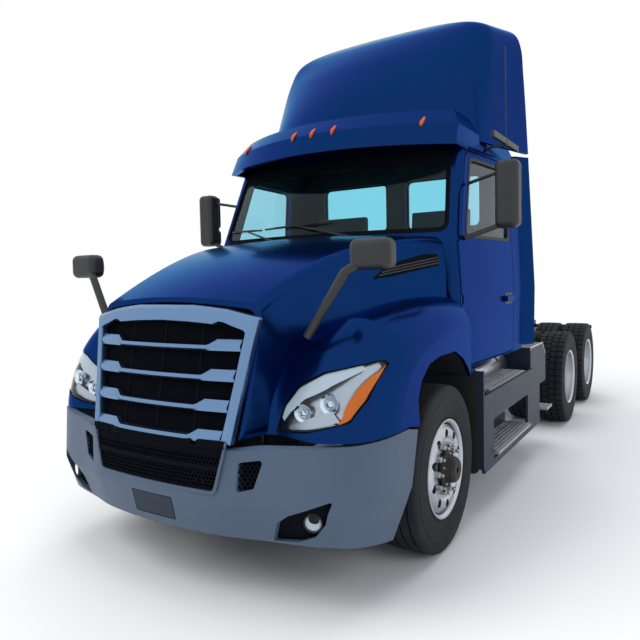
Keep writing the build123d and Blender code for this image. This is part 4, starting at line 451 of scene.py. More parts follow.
def road_wheel(side, axle, y):
    """One side of an axle: tyres, barrels with discs, hub and drum, studs with caps, hub bolts."""
    front = axle == "front"
    rubber, bright, dark, nuts = builds(4)
    if front:
        barrels, discs, hub, drum = [FRONT_X], [(FRONT_X, FRONT_DISC)], FRONT_HUB, (-0.078, -0.17)
        face_x, cap_long, bolts, bolt_off = FRONT_X + 0.128, 0.022, 5, 0.022
    else:
        barrels, hub, drum = [DUAL_X + DUAL_GAP, DUAL_X - DUAL_GAP], DRIVE_HUB, (-0.048, -0.24)
        discs = [(DUAL_X + 0.025, DUAL_DISC), (DUAL_X - 0.001, [(r, -o) for r, o in DUAL_DISC])]
        face_x, cap_long, bolts, bolt_off = DUAL_X + 0.025, 0.018, 8, 0.106
    for x in barrels:
        tyre(rubber, x, y, not front)
        bright.lathe(LIP + [(-o, r) for o, r in reversed(LIP)] + DROP_CENTRE, 96, (x, y, AXLE))
    for x, contour in discs:
        disc(bright, x, y, contour)
    dark.lathe(hub, 64, (face_x, y, AXLE), closed=front)
    dark.lathe([(drum[0], 0.198), (drum[0], 0.212), (drum[1], 0.212), (drum[1], 0.198)], 64,
        (face_x, y, AXLE))
    for k in range(STUDS):
        a = TURN * (k + 0.5) / STUDS
        nut(nuts, about_axle(face_x, y, STUD_CIRCLE, a), 0.0185, 0.026, turn=a)
        nut(nuts, about_axle(face_x + 0.024, y, STUD_CIRCLE, a), 0.01, cap_long, sides=10)
    for k in range(bolts):
        nut(nuts, about_axle(face_x + bolt_off, y, HUB_BOLT_CIRCLE, TURN * k / bolts), 0.0085, 0.012)
    start, many = f"{side}_{axle}_", "" if front else "s"
    body, wheel, tyres = start + ("wheel" if front else "duals"), f"{start}wheel{many}", f"{start}tyre{many}"
    rubber.piece(tyres + "_rubber", RUBBER, body, tyres, 38)
    bright.piece(wheel + "_disc", ALU, body, wheel, 30)
    dark.piece(wheel + "_hub", CAST, body, smooth=30)
    nuts.piece(wheel + "_nuts", STEEL, body, smooth=25)


for side in ("left", "right"):
    for axle, station in STATIONS.items():
        road_wheel(side, axle, station - HALF_LENGTH)


# ---------- places on the CAD surfaces
TREES = {}


def hit(nodes, origin, direction):
    """The first point of some CAD nodes met by a ray, or None."""
    best = None
    for node in nodes.split():
        if node not in TREES:
            mesh = NODES[node].data
            TREES[node] = BVHTree.FromPolygons([v.co for v in mesh.vertices],
                [p.vertices for p in mesh.polygons])
        where, _, _, far = TREES[node].ray_cast(Vector(origin), Vector(direction))
        if where is not None and (best is None or far < best[1]):
            best = (where, far)
    return best[0] if best else None


def front_y(nodes, x, z):
    """Where some nodes are met from the front, or None."""
    p = hit(nodes, (x, -6, z), (0, 1, 0))
    return p.y if p else None


def deeper(place, by):
    """The same surface, further in."""
    return lambda a, b, d: place(a, b, by + d)


def box(a0, b0, a1, b1):
    return [(a0, b0), (a1, b0), (a1, b1), (a0, b1)]


def both_sides(half):
    """An outline from its right-hand half, bottom to top."""
    return half + [(-x, z) for x, z in reversed(half)]


def resample(line, n):
    """n + 1 evenly spaced points of a run of straight lines."""
    pts = [Vector(p) for p in line]
    lengths = [0]
    for a, b in zip(pts, pts[1:]):
        lengths.append(lengths[-1] + (b - a).length)
    out = []
    for k in range(n + 1):
        want = lengths[-1] * k / n
        i = 0
        while i < len(pts) - 2 and lengths[i + 1] < want:
            i += 1
        span = lengths[i + 1] - lengths[i] or 1
        out.append(pts[i].lerp(pts[i + 1], min(1, max(0, (want - lengths[i]) / span))))
    return out


def loop_of(outline, n):
    """n evenly spaced points of a closed outline."""
    return resample(outline + outline[:1], n)[:-1]


def rounded(outline, radius, steps=5):
    """A closed outline with its corners rounded."""
    out = []
    for i, corner in enumerate(outline):
        a, b, c = Vector(outline[i - 1]), Vector(corner), Vector(outline[(i + 1) % len(outline)])
        r = min(radius, (a - b).length * 0.48, (c - b).length * 0.48)
        p, q = b + (a - b).normalized() * r, b + (c - b).normalized() * r
        out += [tuple(p * (1 - t) ** 2 + b * 2 * t * (1 - t) + q * t * t)
            for t in (k / steps for k in range(steps + 1))]
    return out


def divided(outline, step, like):
    """A closed outline with as many points on each side as like's sides have steps."""
    out = []
    for i in range(len(outline)):
        j = (i + 1) % len(outline)
        parts = max(1, int((Vector(like[j]) - Vector(like[i])).length / step))
        out += [tuple(Vector(outline[i]).lerp(Vector(outline[j]), k / parts)) for k in range(parts)]
    return out


def frame_between(build, outer, inner, place, low, high):
    """A frame between two outlines with as many points, from one depth to another."""
    build.stack(((outer, low), (outer, high), (inner, high), (inner, low)), place, looped=True)


def band(build, outline, width, place, thick, step=0.05):
    """A flat strip inside a closed outline, laid on a surface."""
    dense = divided(outline, step, outline)
    frame_between(build, dense, inset(dense, width), place, 0, thick)


def ring(build, outer, inner, place, low, high):
    """A frame between two outlines, laid on a surface."""
    frame_between(build, divided(outer, 0.05, outer), divided(inner, 0.05, outer), place, low, high)


def patch(build, low, high, n_u, n_v, place, thick):
    """A curved plate between two lines of a flat drawing; place maps (a, b, depth) into space."""
    w = n_v + 1
    flat = [a.lerp(b, j / n_v) for a, b in zip(resample(low, n_u), resample(high, n_u)) for j in range(w)]
    size = len(flat)
    edge = ([i * w for i in range(n_u + 1)] + [n_u * w + j for j in range(1, w)] +
        [i * w + n_v for i in range(n_u - 1, -1, -1)] + list(range(n_v - 1, 0, -1)))
    faces = quads(n_u + 1, w, closed=False, turned=True)
    faces += [tuple(size + i for i in f) for f in quads(n_u + 1, w, closed=False)]
    faces += [(a, size + a, size + b, b) for a, b in zip(edge, edge[1:] + edge[:1])]
    build.add([place(p.x, p.y, depth) for depth in (0, thick) for p in flat], faces)


def sheet(build, outline, centre, place, thick, shares):
    """A closed plate that follows a surface, with rings of points at shares of its outline's size."""
    m, (ca, cb) = len(outline), centre
    rings = [(share, 0) for share in shares[::-1]] + [(share, thick) for share in shares]
    verts = [place(ca + (a - ca) * share, cb + (b - cb) * share, d) for share, d in rings for a, b in outline]
    top = len(verts) - m
    faces = quads(len(rings), m, turned=True)
    for k in range(m):
        after = (k + 1) % m
        faces += [(k, after, top + m), (top + after, top + k, top + m + 1)]
    build.add(verts + [place(ca, cb, 0), place(ca, cb, thick)], faces)


def facing(build, profile, segments, centre, ahead):
    """Turns (offset, radius) points about an axle that points ahead."""
    spun = Build()
    spun.lathe(profile, segments, (0, 0, 0))
    turn = Vector((1, 0, 0)).rotation_difference(ahead).to_matrix()
    build.add([turn @ v + centre for v in spun.verts], spun.faces)


def inside(point, outline):
    x, y = point
    odd = False
    for (x0, y0), (x1, y1) in zip(outline, outline[1:] + outline[:1]):
        if (y0 > y) != (y1 > y) and x < (x1 - x0) * (y - y0) / (y1 - y0) + x0:
            odd = not odd
    return odd


# ---------- grille
RAKE, SWEEP, HOOD_LOW = 0.19, 0.062, 0.862


def on_grille(x, z, depth):
    """A point behind the grille's raked and swept face."""
    return P(x, RAKE * (z - HOOD_LOW) + 0.002 + SWEEP * (x / 0.602) ** 2 + depth, z)


edge = both_sides([(0.509, 0.8625), (0.532, 1.02), (0.556, 1.18), (0.58, 1.34), (0.6, 1.462), (0.6025, 1.477),
    (0.59, 1.489), (0.52, 1.505), (0.42, 1.5275), (0.32, 1.539), (0.21, 1.5495), (0.1, 1.5505),
    (0.02, 1.551)])
hole = both_sides([(0.46, 0.893), (0.481, 1.02), (0.505, 1.18), (0.526, 1.33), (0.537, 1.398), (0.538, 1.408),
    (0.53, 1.418), (0.46, 1.44), (0.41, 1.458), (0.385, 1.461), (0.35, 1.447), (0.2, 1.458), (0.02, 1.464)])
FRAME_DEEP, LIP_DEEP = 0.052, 0.006
lines = [(edge, FRAME_DEEP), (edge, LIP_DEEP * 3.2), (inset(edge, LIP_DEEP * 0.5), LIP_DEEP * 1.9),
    (inset(edge, LIP_DEEP * 3), 0), (inset(hole, -LIP_DEEP * 1.2), LIP_DEEP * 0.3), (hole, LIP_DEEP * 2.6),
    (hole, FRAME_DEEP)]
surround = Build()
surround.stack(lines, on_grille, looped=True, turned=True)
surround.piece("grille_frame", CHROME, "hood", "grille_surround", 32)

SLATS = [(0.866, 0.458), (1.016, 0.48), (1.166, 0.502), (1.317, 0.523)]  # (foot, half width)
TAB, RAMP, TAB_TALL, SLAT_TALL, SLAT_DEEP = 0.15, 0.05, 0.06, 0.029, 0.046
slats = Build()
for foot, half in SLATS:
    xs = [half - d for d in (0, 0.03, 0.08, TAB - 0.012, TAB, TAB + 0.012, TAB + RAMP - 0.01,
        TAB + RAMP + 0.006)]
    xs += [x for x in (0.24, 0.18, 0.12, 0.06, 0) if x < half - TAB - RAMP - 0.02]
    verts = []
    xs += [-x for x in reversed(xs) if x > 0]
    for x in xs:
        t = min(1, max(0, (half - abs(x) - TAB) / RAMP))
        tall = TAB_TALL + (SLAT_TALL - TAB_TALL) * t
        back = 0.02 * (1 - t) + 0.008 * t
        verts += [on_grille(x, foot + up, depth) for up, depth in ((0.003, SLAT_DEEP), (0, 0.02),
            (0.002, 0.014), (tall * 0.42, 0.0022), (tall * 0.5, 0.002), (tall - 0.004, back - 0.002),
            (tall, back + 0.002), (tall - 0.003, SLAT_DEEP))]
    slats.add(verts, quads(len(xs), 8, turned=True, ends=True))
slats.piece("grille_bars", CHROME, "hood", "grille_slats", 30)

CORE_FOOT, CORE_SHOULDER, CORE_PITCH = 0.89, 1.44, 0.0085
core = Build()
for row in range(66):
    z = 0.897 + CORE_PITCH * row
    over = (z - CORE_SHOULDER) / 0.022
    half = 0.54 - over * 0.24 if over > 0 else 0.462 + (z - CORE_FOOT) / 0.55 * 0.078
    verts = [on_grille(half * (1 - 2 * k / 12), z + up, depth) for k in range(13)
        for up, depth in ((0, 0.0505), (0.0035, 0.0505), (0.0048, 0.0575), (0.0012, 0.0575))]
    core.add(verts, quads(13, 4, turned=True, ends=True))
for x in (-0.26, 0, 0.26):
    verts = [on_grille(x + off, z, depth) for z in (0.892, 1.455)
        for off, depth in ((-0.006, 0.0485), (0.006, 0.0485), (0.006, 0.0515), (-0.006, 0.0515))]
    core.add(verts, quads(2, 4, ends=True))
# A black sheet behind the grille's mesh: painted shade for the dark space inside, seen through the cells.
sheet(core, loop_of(both_sides([(0.462, CORE_FOOT), (0.54, CORE_SHOULDER), (0.3, 1.462)]), 48), (0, 1.17),
    deeper(on_grille, 0.0578), 0.0012, (1, 0.66, 0.33))
core.piece("grille_core", MESH_BLACK, "hood", "grille_mesh", 0)


# ---------- bumper
CELL, CELL_BAR = 0.0225, 0.0032


def on_bumper(x, z, depth):
    """A point behind the bumper's skin, in its middle part."""
    lean = 0.06 * (0.56 - z) / 0.26 if z < 0.56 else 0.012 * (z - 0.56) / 0.325
    return P(x, lean + 0.028 * (x / 0.45) ** 2 + depth, z)


def on_skin(x, z, depth):
    """A point off the bumper's skin, above the insert."""
    y = front_y("front_bumper", x, max(z, 0.815))
    return on_bumper(x, z, depth) if y is None else Vector((x, y + depth, z))


def on_inlet(x, z, depth):
    """A point behind the skin or the mesh, no deeper than the inlet's floor."""
    y = front_y("front_bumper bumper_mesh", x, z)
    y = 0.06 - HALF_LENGTH if y is None else y
    return Vector((x, min(y, 0.16 - HALF_LENGTH) + depth, z))


def hex_sheet(build, outline, place, front, rear, keep_out=()):
    """Hexagonal openings in a sheet inside an outline."""
    (low_a, high_a), (low_b, high_b) = [(min(v), max(v)) for v in zip(*outline)]
    radius = CELL / sqrt(3)
    row, b = 0, low_b
    while b < high_b + CELL:
        a = low_a + (CELL / 2 if row % 2 else 0)
        while a < high_a + CELL:
            if inside((a, b), outline) and not any(inside((a, b), k) for k in keep_out):
                cell = [[(min(max(a + r * cos(t), low_a), high_a), min(max(b + r * sin(t), low_b), high_b))
                    for t in (pi / 6 + pi / 3 * k for k in range(6))] for r in (radius, radius - CELL_BAR)]
                frame_between(build, *cell, place, front, rear)
            a += CELL
        b += CELL * sqrt(3) / 2
        row += 1


insert = rounded(both_sides([(0.418, 0.626), (0.476, 0.812)]), 0.026)
mesh_part, rail, cap, cap_mesh, rim = builds(5)
hex_sheet(mesh_part, inset(insert, 0.004), on_bumper, 0.01, 0.019)
band(mesh_part, inset(insert, 0.001), 0.007, lambda a, b, d: on_bumper(a, b, 0.02 - d), 0.012)
band(rail, both_sides([(0.452, 0.728), (0.459, 0.752)]), 0.0118, lambda a, b, d: on_bumper(a, b, 0.019 - d),
    0.016)
rail.piece("bumper_rail", MESH_BLACK)
rim_lines = [[(-x, 0.88)] + sorted(p for p in rounded(both_sides(corners), r) if p[1] < 0.8) + [(x, 0.88)]
    for x, corners, r in ((0.5025, [(0.432, 0.611), (0.503, 0.882)], 0.034),
    (0.4893, [(0.4185, 0.6265), (0.489, 0.878)], 0.026))]
patch(rim, *rim_lines, 180, 1, deeper(on_bumper, -0.0018), 0.0048)
# Two low places in the cap leave room for the hood's hinge arms as they swing over the bumper.
for low_a, low_b, high_a, high_b, top in ((-0.473, -0.318, -0.4895, -0.318, 0.879),
        (-0.318, -0.282, -0.318, -0.282, 0.844), (-0.282, 0.282, -0.282, 0.282, 0.879),
        (0.282, 0.318, 0.282, 0.318, 0.844), (0.318, 0.473, 0.318, 0.4895, 0.879)):
    patch(cap, [(low_a, 0.812), (low_b, 0.812)], [(high_a, top), (high_b, top)], 24, 6, on_skin, -0.002)
patch(cap, [(-0.47, 0.8), (0.47, 0.8)], [(-0.473, 0.816), (0.473, 0.816)], 60, 1, deeper(on_skin, 0.0005),
    0.01)
arm_places = [box(0.268, 0.833, 0.332, 0.9), box(-0.332, 0.833, -0.268, 0.9)]
hex_sheet(cap_mesh, inset(both_sides([(0.473, 0.806), (0.4895, 0.88)]), 0.001), on_skin, -0.0048, -0.0015,
    arm_places)
cap.piece("insert_cap", MESH_BLACK, smooth=0)
cap_mesh.piece("insert_cap_mesh", MESH_BLACK, smooth=0)
rim.piece("insert_rim", BUMPER)
# Black sheets behind the bumper's meshes: painted shade for the dark space inside, seen through the cells.
shade_backing, plate = builds(2)
shade_backing.prism(box(-0.5, 0.6, 0.5, 0.8), 0, 0.004,
    lambda a, b, d: P(a, 0.052 + 0.028 * (a / 0.45) ** 2 + d, b))
for flip in (1, -1):
    inlet = [(flip * a, b) for a, b in ((0.537, 0.629), (0.625, 0.655), (0.673, 0.799), (0.549, 0.78))]
    hex_sheet(mesh_part, inset(inlet, 0.006), on_inlet, 0.002, 0.01)
    shade_backing.prism([(flip * a, b) for a, b in ((0.53, 0.62), (0.68, 0.62), (0.69, 0.81), (0.53, 0.81))], 0,
        0.004, lambda a, b, d: P(a, 0.14 + d, b))
mesh_part.piece("bumper_honeycomb", MESH_BLACK, "chassis", "bumper_mesh", 0)
shade_backing.piece("bumper_shade_backing", MESH_BLACK, smooth=0)
plate.prism(rounded(box(-0.146, 0.434, 0.146, 0.556), 0.01), 0, 0.008, deeper(on_bumper, -0.0005), 0.002)
plate.piece("plate_pad", SKIRT)

# ---------- headlamps
LAMP_LOW = [(0.657, 0.908), (0.85, 0.928), (1, 0.966), (1.058, 0.99), (1.1, 1.08), (1.122, 1.18),
    (1.127, 1.232)]
LAMP_HIGH = [(0.657, 0.908), (0.692, 1.038), (0.762, 1.136), (0.9, 1.211), (1.04, 1.244), (1.113, 1.258)]
HEADLAMP = {"housing": ALU, "bright": REFLECTOR, "white": LAMP_WHITE, "amber": AMBER, "cover": LENS,
    "rim": MESH_BLACK}
globe = {part: Build() for part in HEADLAMP}


def on_face(node, x, z, depth, middle, shares, fallback):
    """A point behind a node's face; one just off it takes its depth from a place nearer the middle."""
    for share in shares:
        y = front_y(node, x + (middle[0] - x) * share, z + (middle[1] - z) * share)
        if y is not None:
            return Vector((x, y + depth, z))
    return P(x, fallback + depth, z)


def on_lamp(x, z, depth):
    return on_face("headlamps", x, z, depth, (0.92, 1.08), (0, 0.01), 0.3)


def on_fog(x, z, depth):
    return on_face("chassis_lamps", x, z, depth, (0.86, 0.48), (0, 0.04, 0.1, 0.2, 0.4), 0.22)


low_line, high_line = resample(LAMP_LOW, 40), resample(LAMP_HIGH, 40)
for part, t0, t1, s0, s1, n_u, n_v, depth, thick in (  # from t0 to t1 along the lamp, s0 to s1 up it
        ("cover", 0, 40, 0, 1, 40, 14, -0.001, 0.003), ("housing", 0, 40, 0, 1, 40, 10, 0.054, 0.006),
        ("white", 5, 36, 0.7, 0.97, 26, 3, 0.008, 0.006), ("housing", 4, 22, 0.05, 0.3, 20, 4, 0.03, 0.004)):
    pairs = list(zip(low_line, high_line))[t0:t1 + 1]
    patch(globe[part], [p.lerp(q, s0) for p, q in pairs], [p.lerp(q, s1) for p, q in pairs], n_u, n_v,
        deeper(on_lamp, depth), thick)
outer_line = low_line[22:40]
patch(globe["amber"], [(x - 0.004, z + 0.004) for x, z in outer_line],
    [(x - 0.006 - 0.046 * sin(pi * min(1, 1.08 * k / 17)) ** 0.8, z + 0.01 + 0.012 * k / 17)
    for k, (x, z) in enumerate(outer_line)], 24, 5, deeper(on_lamp, 0.004), 0.008)
band(globe["rim"], [tuple(p) for p in resample(LAMP_LOW, 30)[1:] + resample(LAMP_HIGH, 30)[:0:-1]], 0.0045,
    deeper(on_lamp, -0.0015), 0.052, 0.03)
for x, z, r in ((0.8, 1.01, 0.046), (0.948, 1.065, 0.05)):
    for part, segments, profile in (("bright", 40,
            [(-0.01, 0.004), (-0.004, r * 0.55), (0.014, r * 0.92), (0.018, r), (0.012, r * 1.04),
            (-0.012, r * 0.7)]), ("cover", 32, [(-0.004, 0.0005), (0, r * 0.36), (0.012, r * 0.44),
            (0.022, r * 0.3), (0.026, 0.0005)]), ("housing", 32,
            [(-0.002, r * 0.46), (0.01, r * 0.5), (0.01, r * 0.58), (-0.004, r * 0.56)])):
        facing(globe[part], profile, segments, on_lamp(x, z, 0.04), Vector((0.12, -1, 0.02)).normalized())
for part, mat in HEADLAMP.items():
    slot = "lamp" if mat is ALU else None
    globe[part].both().piece(f"headlamp_{part}", mat, "hood", "headlamps", slot=slot)

# ---------- lamps
# Rows of a form: height, its front's station in the middle and at the corner, half width (and at the rear).
VISOR_ROWS = [(2.59, 1.585, 1.95, 1.015), (2.75, 1.68, 2.03, 1.005), (2.875, 1.83, 2.13, 0.94)]
CAB_ROWS = [(1.03, 1.75, 1.8, 1.08, 1.15), (1.55, 1.73, 1.805, 1.078, 1.16),
    (1.94, 1.665, 1.83, 1.055, 1.145), (2.62, 1.915, 2.12, 1.005, 1.105), (2.76, 2.02, 2.21, 0.93, 1.04)]
CAB_REAR = 3.2


def row_at(rows, z):
    """A form's sizes at a height, between the rows of its table."""
    a, b = next(((a, b) for a, b in zip(rows, rows[1:]) if z <= b[0]), (rows[-2], rows[-1]))
    t = (z - a[0]) / (b[0] - a[0])
    return [p + (q - p) * t for p, q in zip(a, b)]


def bow(middle, corner, half, x):
    """The station of an arc across the truck at x."""
    sag = corner - middle
    radius = (half * half + sag * sag) / (2 * sag)
    return middle + radius - sqrt(radius * radius - x * x)


def front_of(rows, x, z, depth=0):
    _, middle, corner, half = row_at(rows, z)[:4]
    return P(x, bow(middle, corner, half, x) + depth, z)


def cab_front(x, z, depth):
    return front_of(CAB_ROWS, x, z, depth)


def cab_side(station, z, out):
    _, _, corner, half, rear_half = row_at(CAB_ROWS, z)
    return P(half + (rear_half - half) * (station - corner) / (CAB_REAR - corner) + out, station, z)


MARKER_HALF_WIDE, MARKER_HALF_TALL, MARKER_SIDES = 0.0115, 0.04, 24
MARKER_LAYERS = (0.96, 0.001), (1, 0.005), (0.93, 0.011), (0.72, 0.016), (0.38, 0.019), (0, 0.02)
SHOE_LAYERS = (1.16, -0.004), (1.16, 0.002), (1.16 * 0.94, 0.004), (0, 0.004)  # (size, height)
markers, shoes = builds(2)
for x, z in ((0, 2.757), (0.174, 2.757), (-0.174, 2.757), (0.786, 2.767), (-0.786, 2.767)):
    out = Vector((x * 0.28, -0.8, 0.6)).normalized()
    for build, layers in ((shoes, SHOE_LAYERS), (markers, MARKER_LAYERS)):
        verts = []
        for share, lift in layers:
            for t in (TURN * k / MARKER_SIDES for k in range(MARKER_SIDES)):
                a = MARKER_HALF_WIDE * share * sin(t) * (1 - 0.36 * cos(t))
                verts.append(front_of(VISOR_ROWS, x + a, z + MARKER_HALF_TALL * share * cos(t)) + out * lift)
        build.add(verts, quads(len(layers), MARKER_SIDES, ends=True)[:-1])
markers.piece("marker_lenses", MARKER, "chassis", "chassis_lamps", 50)
shoes.piece("marker_shoes", BLACK, smooth=30)

FOG_POCKET = [(0.69, 0.388), (0.822, 0.396), (0.905, 0.43), (0.965, 0.505), (1.005, 0.622), (0.79, 0.535),
    (0.725, 0.488)]
FOG = {"recess": MESH_BLACK, "bowl": ALU, "lens": LENS, "bezel": BLACK}
fog, r = {part: Build() for part in FOG}, 0.04
sheet(fog["recess"], loop_of(FOG_POCKET, 42), (0.86, 0.47), on_fog, 0.004, [1 - k / 6 for k in range(6)])
for part, profile in (("bezel", [(-0.006, r * 1.04), (0.01, r * 1.02), (0.014, r * 1.12), (0.01, r * 1.2),
        (-0.006, r * 1.24)]), ("bowl", [(-0.006, 0.001), (-0.004, r * 0.5), (0.006, r * 0.98), (0.01, r),
        (0.004, r * 1.04), (-0.01, r * 0.5)]), ("lens",
        [(0.009, 0.0005), (0.009, r), (0.011, r), (0.017, r * 0.6), (0.019, 0.0005)])):
    facing(fog[part], profile, 40, on_fog(0.892, 0.5, -0.002), Vector((0.42, -1, 0)).normalized())
for part, mat in FOG.items():
    slot = "lamp" if mat is ALU else None
    fog[part].both().piece(f"fog_{part}", mat, "chassis", "chassis_lamps", 32, slot)

tail, tail_red, tail_clear = builds(3)
tail.block(P(0.3, 7.029, 0.9), (0.11, 0.018, 0.08), 0.004)
for made, x, wide in ((tail_red, 0.318, 0.066), (tail_clear, 0.264, 0.034)):
    made.block(P(x, 7.043, 0.9), (wide, 0.014, 0.07), 0.004)
for k in range(9):
    tail_red.block(P(0.318, 7.0485, 0.872 + 0.007 * k), (0.06, 0.002, 0.003), 0.0008)
for made, name, mat in ((tail, "tail_housings", BLACK), (tail_red, "tail_lenses", RED),
        (tail_clear, "reversing_lenses", LAMP_WHITE)):
    made.both().piece(name, mat, "chassis", "chassis_lamps")

# ---------- glass, seals and wipers
screen, seal, frit_and_visor_shade, wipers = builds(4)
patch(screen, [(-0.989, 1.986), (0.989, 1.986)], [(-0.931, 2.574), (0.931, 2.574)], 48, 18,
    deeper(cab_front, 0.014), 0.008)
screen.piece("windshield", GLASS, "chassis", "cab_glass", 60)
edge = rounded(both_sides([(0.99, 1.985), (0.93, 2.575)]), 0.07)
ring(seal, inset(edge, -0.007), inset(edge, 0.006), cab_front, 0.013, -0.0015)
seal.piece("windshield_seal", MESH_BLACK, smooth=30, slot="rubber")
# A black frit round the windshield, deeper at the top, where it is also painted shade: the visor's shadow on
# the glass.
ring(frit_and_visor_shade, inset(edge, 0.006), rounded(both_sides([(0.962, 2.012), (0.91, 2.49)]), 0.05), cab_front, 0.0135,
    0.012)
frit_and_visor_shade.piece("windshield_frit_and_visor_shade", MESH_BLACK, smooth=30)
for (x0, z0), (x1, z1), pivot in (((-0.95, 2.085), (-0.56, 2.075), (-0.36, 1.965)),
        ((-0.52, 2.078), (0.13, 2.092), (0.33, 1.965))):
    blade = [cab_front(x0 + (x1 - x0) * k / 12, z0 + (z1 - z0) * k / 12, 0.004) for k in range(13)]
    grip = blade[6] + Vector((0, -0.016, 0.004))
    wipers.tube(blade, 0.0075, 6)
    wipers.tube([p + Vector((0, -0.01, 0.004)) for p in blade[2:11]], 0.0045, 6)
    wipers.tube([cab_front(*pivot, -0.006), cab_front(*pivot, -0.022).lerp(grip, 0.25), grip],
        [0.012, 0.009, 0.006], 8)
    wipers.tube([cab_front(*pivot, 0.01), cab_front(*pivot, -0.02)], 0.017, 14)
wipers.piece("wipers", BLACK)


def on_back(x, z, depth):
    return P(x, CAB_REAR - 0.018 + depth, z)


back_window, edge = box(0.1, 2.11, 0.8, 2.57), rounded(box(0.1, 2.11, 0.8, 2.57), 0.06)
back_glass, back_seal = builds(2)
back_glass.prism(rounded(inset(back_window, 0.001), 0.059), 0, 0.006, on_back)
ring(back_seal, inset(edge, -0.014), inset(edge, 0.012), on_back, 0.002, 0.022)
back_glass.both().piece("rear_windows", REAR_GLASS, "chassis", "cab_glass")
back_seal.both().piece("rear_window_seals", SEAL)

door_seal, trim = builds(2)
edge = rounded([(1.99, 1.955), (2.89, 1.955), (2.89, 2.53), (2.215, 2.53)], 0.06)
ring(door_seal, inset(edge, -0.012), inset(edge, 0.012), cab_side, -0.01, 0.003)
trim.prism(rounded(box(2.735, 1.435, 2.925, 1.525), 0.03), 0, 0.004, deeper(cab_side, -0.001), 0.001)
on_doors(door_seal, "window_seal", SEAL, 30)
on_doors(trim, "handle_plate", BLACK, 30)

# ---------- roof fairing
FAIRING_ROWS = [(2.71, 1.93, 2.5, 1, 1.19), (3.1, 2.14, 2.66, 1, 1.17), (3.42, 2.39, 2.785, 1, 1.15),
    (3.6, 2.57, 2.862, 0.985, 1.136), (3.73, 2.73, 2.915, 0.945, 1.093), (3.8, 2.845, 2.945, 0.85, 1.008),
    (3.85, 2.945, 2.99, 0.7, 0.878), (3.905, 3.06, 3.08, 0.47, 0.62), (3.955, 3.185, 3.195, 0.24, 0.34)]
FAIRING_REAR, FAIRING_CORNER, FAIRING_SKIN, SEAM_STATION = 3.29, 0.06, 0.028, 2.83


def fairing_line(level, skin):
    """The left half of a section, from the middle of its front to its rear edge."""
    _, middle, corner, half, rear_half = level
    middle, corner, half, rear_half = middle + skin, corner + skin, half - skin, rear_half - skin
    reach = half - FAIRING_CORNER
    line = [Vector((reach * k / 20, bow(middle, corner, half, reach * k / 20))) for k in range(21)]
    tip, rear = Vector((half, corner)), Vector((rear_half, FAIRING_REAR))
    start, end = line[-1], tip + (rear - tip).normalized() * min(FAIRING_CORNER, (rear - tip).length * 0.5)
    line += [start * (1 - t) ** 2 + tip * 2 * t * (1 - t) + end * t * t
        for t in (0.17, 0.33, 0.5, 0.67, 0.83, 1)]
    return line + [end.lerp(rear, k / 8) for k in range(1, 9)]


levels, top = [], len(FAIRING_ROWS) - 1
for i in range(top):
    rows = [FAIRING_ROWS[min(max(j, 0), top)] for j in (i - 1, i, i + 1, i + 2)]
    for t in (k / 6 for k in range(6)):
        levels.append([0.5 * (2 * b + (c - a) * t + (2 * a - 5 * b + 4 * c - d) * t * t +
            (3 * b - a - 3 * c + d) * t ** 3) for a, b, c, d in zip(*rows)])
levels.append(FAIRING_ROWS[-1])
verts = []
for k, level in enumerate(levels):
    for skin, order in ((0, 1), (FAIRING_SKIN, -1)):
        half_line = fairing_line(level, skin)
        line = [(-p.x, p.y) for p in reversed(half_line[1:])] + [(p.x, p.y) for p in half_line]
        verts += [P(a, b, level[0] - skin * k / (len(levels) - 1)) for a, b in line[::order]]
m = len(verts) // len(levels)
last = len(verts) - m
faces = quads(len(levels), m) + [(m - 1 - i, m - 2 - i, i + 1, i) for i in range(m // 2 - 1)]
faces += [tuple(range(last, last + m // 2)), tuple(range(last + m // 2, last + m)),
    (last, last + m // 2 - 1, last + m // 2, last + m - 1)]
roof, seams = builds(2)
roof.add(verts, faces)
roof.piece("roof_cap", PAINT, "chassis", "roof_fairing", 40)
for flip in (1, -1):
    seams.tube([P(flip * (half + (rear_half - half) * (SEAM_STATION - corner) / (FAIRING_REAR - corner) -
        0.0006), SEAM_STATION, z) for z, _, corner, half, rear_half in levels if 2.74 < z < 3.45], 0.0022, 6)
seams.piece("fairing_seams", SEAL)

# ---------- mirrors
def to_rear(x, z, depth):
    return P(1.35 + x, 2.085 + depth, z)


glass, rims = builds(2)
for z, tall in ((2.295, 0.27), (2.07, 0.12)):
    shape = rounded(box(-0.068, z - tall / 2, 0.068, z + tall / 2), 0.026)
    glass.prism(shape, -0.002, 0.0012, to_rear)
    ring(rims, inset(shape, -0.006), shape, to_rear, -0.002, 0.004)
on_doors(glass, "mirror_face", MIRROR_GLASS)
on_doors(rims, "mirror_rim", BLACK)
glass = Build()
glass.prism(rounded(box(1, 1.725, 1.18, 1.855), 0.055), 0, 0.0015, lambda a, b, d: P(a, 0.5565 + d, b))
glass.both().piece("hood_mirror_faces", MIRROR_GLASS, "hood")


# ---------- hood vents
def on_vent(station, z, out):
    p = hit("hood", (4, station - HALF_LENGTH, z), (-1, 0, 0))
    return P((p.x if p else 0.9) + out, station, z)


VENT = [(1.1, 1.66), (1.3, 1.682), (1.725, 1.745), (1.732, 1.822), (1.6, 1.822), (1.25, 1.748)]
vents, louvres = builds(2)
sheet(vents, loop_of(rounded(VENT, 0.02), 60), (1.47, 1.752), on_vent, 0.003, [1 - k / 5 for k in range(5)])
for share in (0.25, 0.5, 0.75):
    ends = zip(resample([(1.13, 1.664), (1.722, 1.745)], 12), resample([(1.25, 1.742), (1.722, 1.818)], 12))
    louvres.tube([on_vent(*p.lerp(q, share), 0.005) for p, q in ends], 0.006, 6)
vents.both().piece("vent_recess", MESH_BLACK, "hood", smooth=40)
louvres.both().piece("vent_louvres", BLACK, "hood", smooth=40)

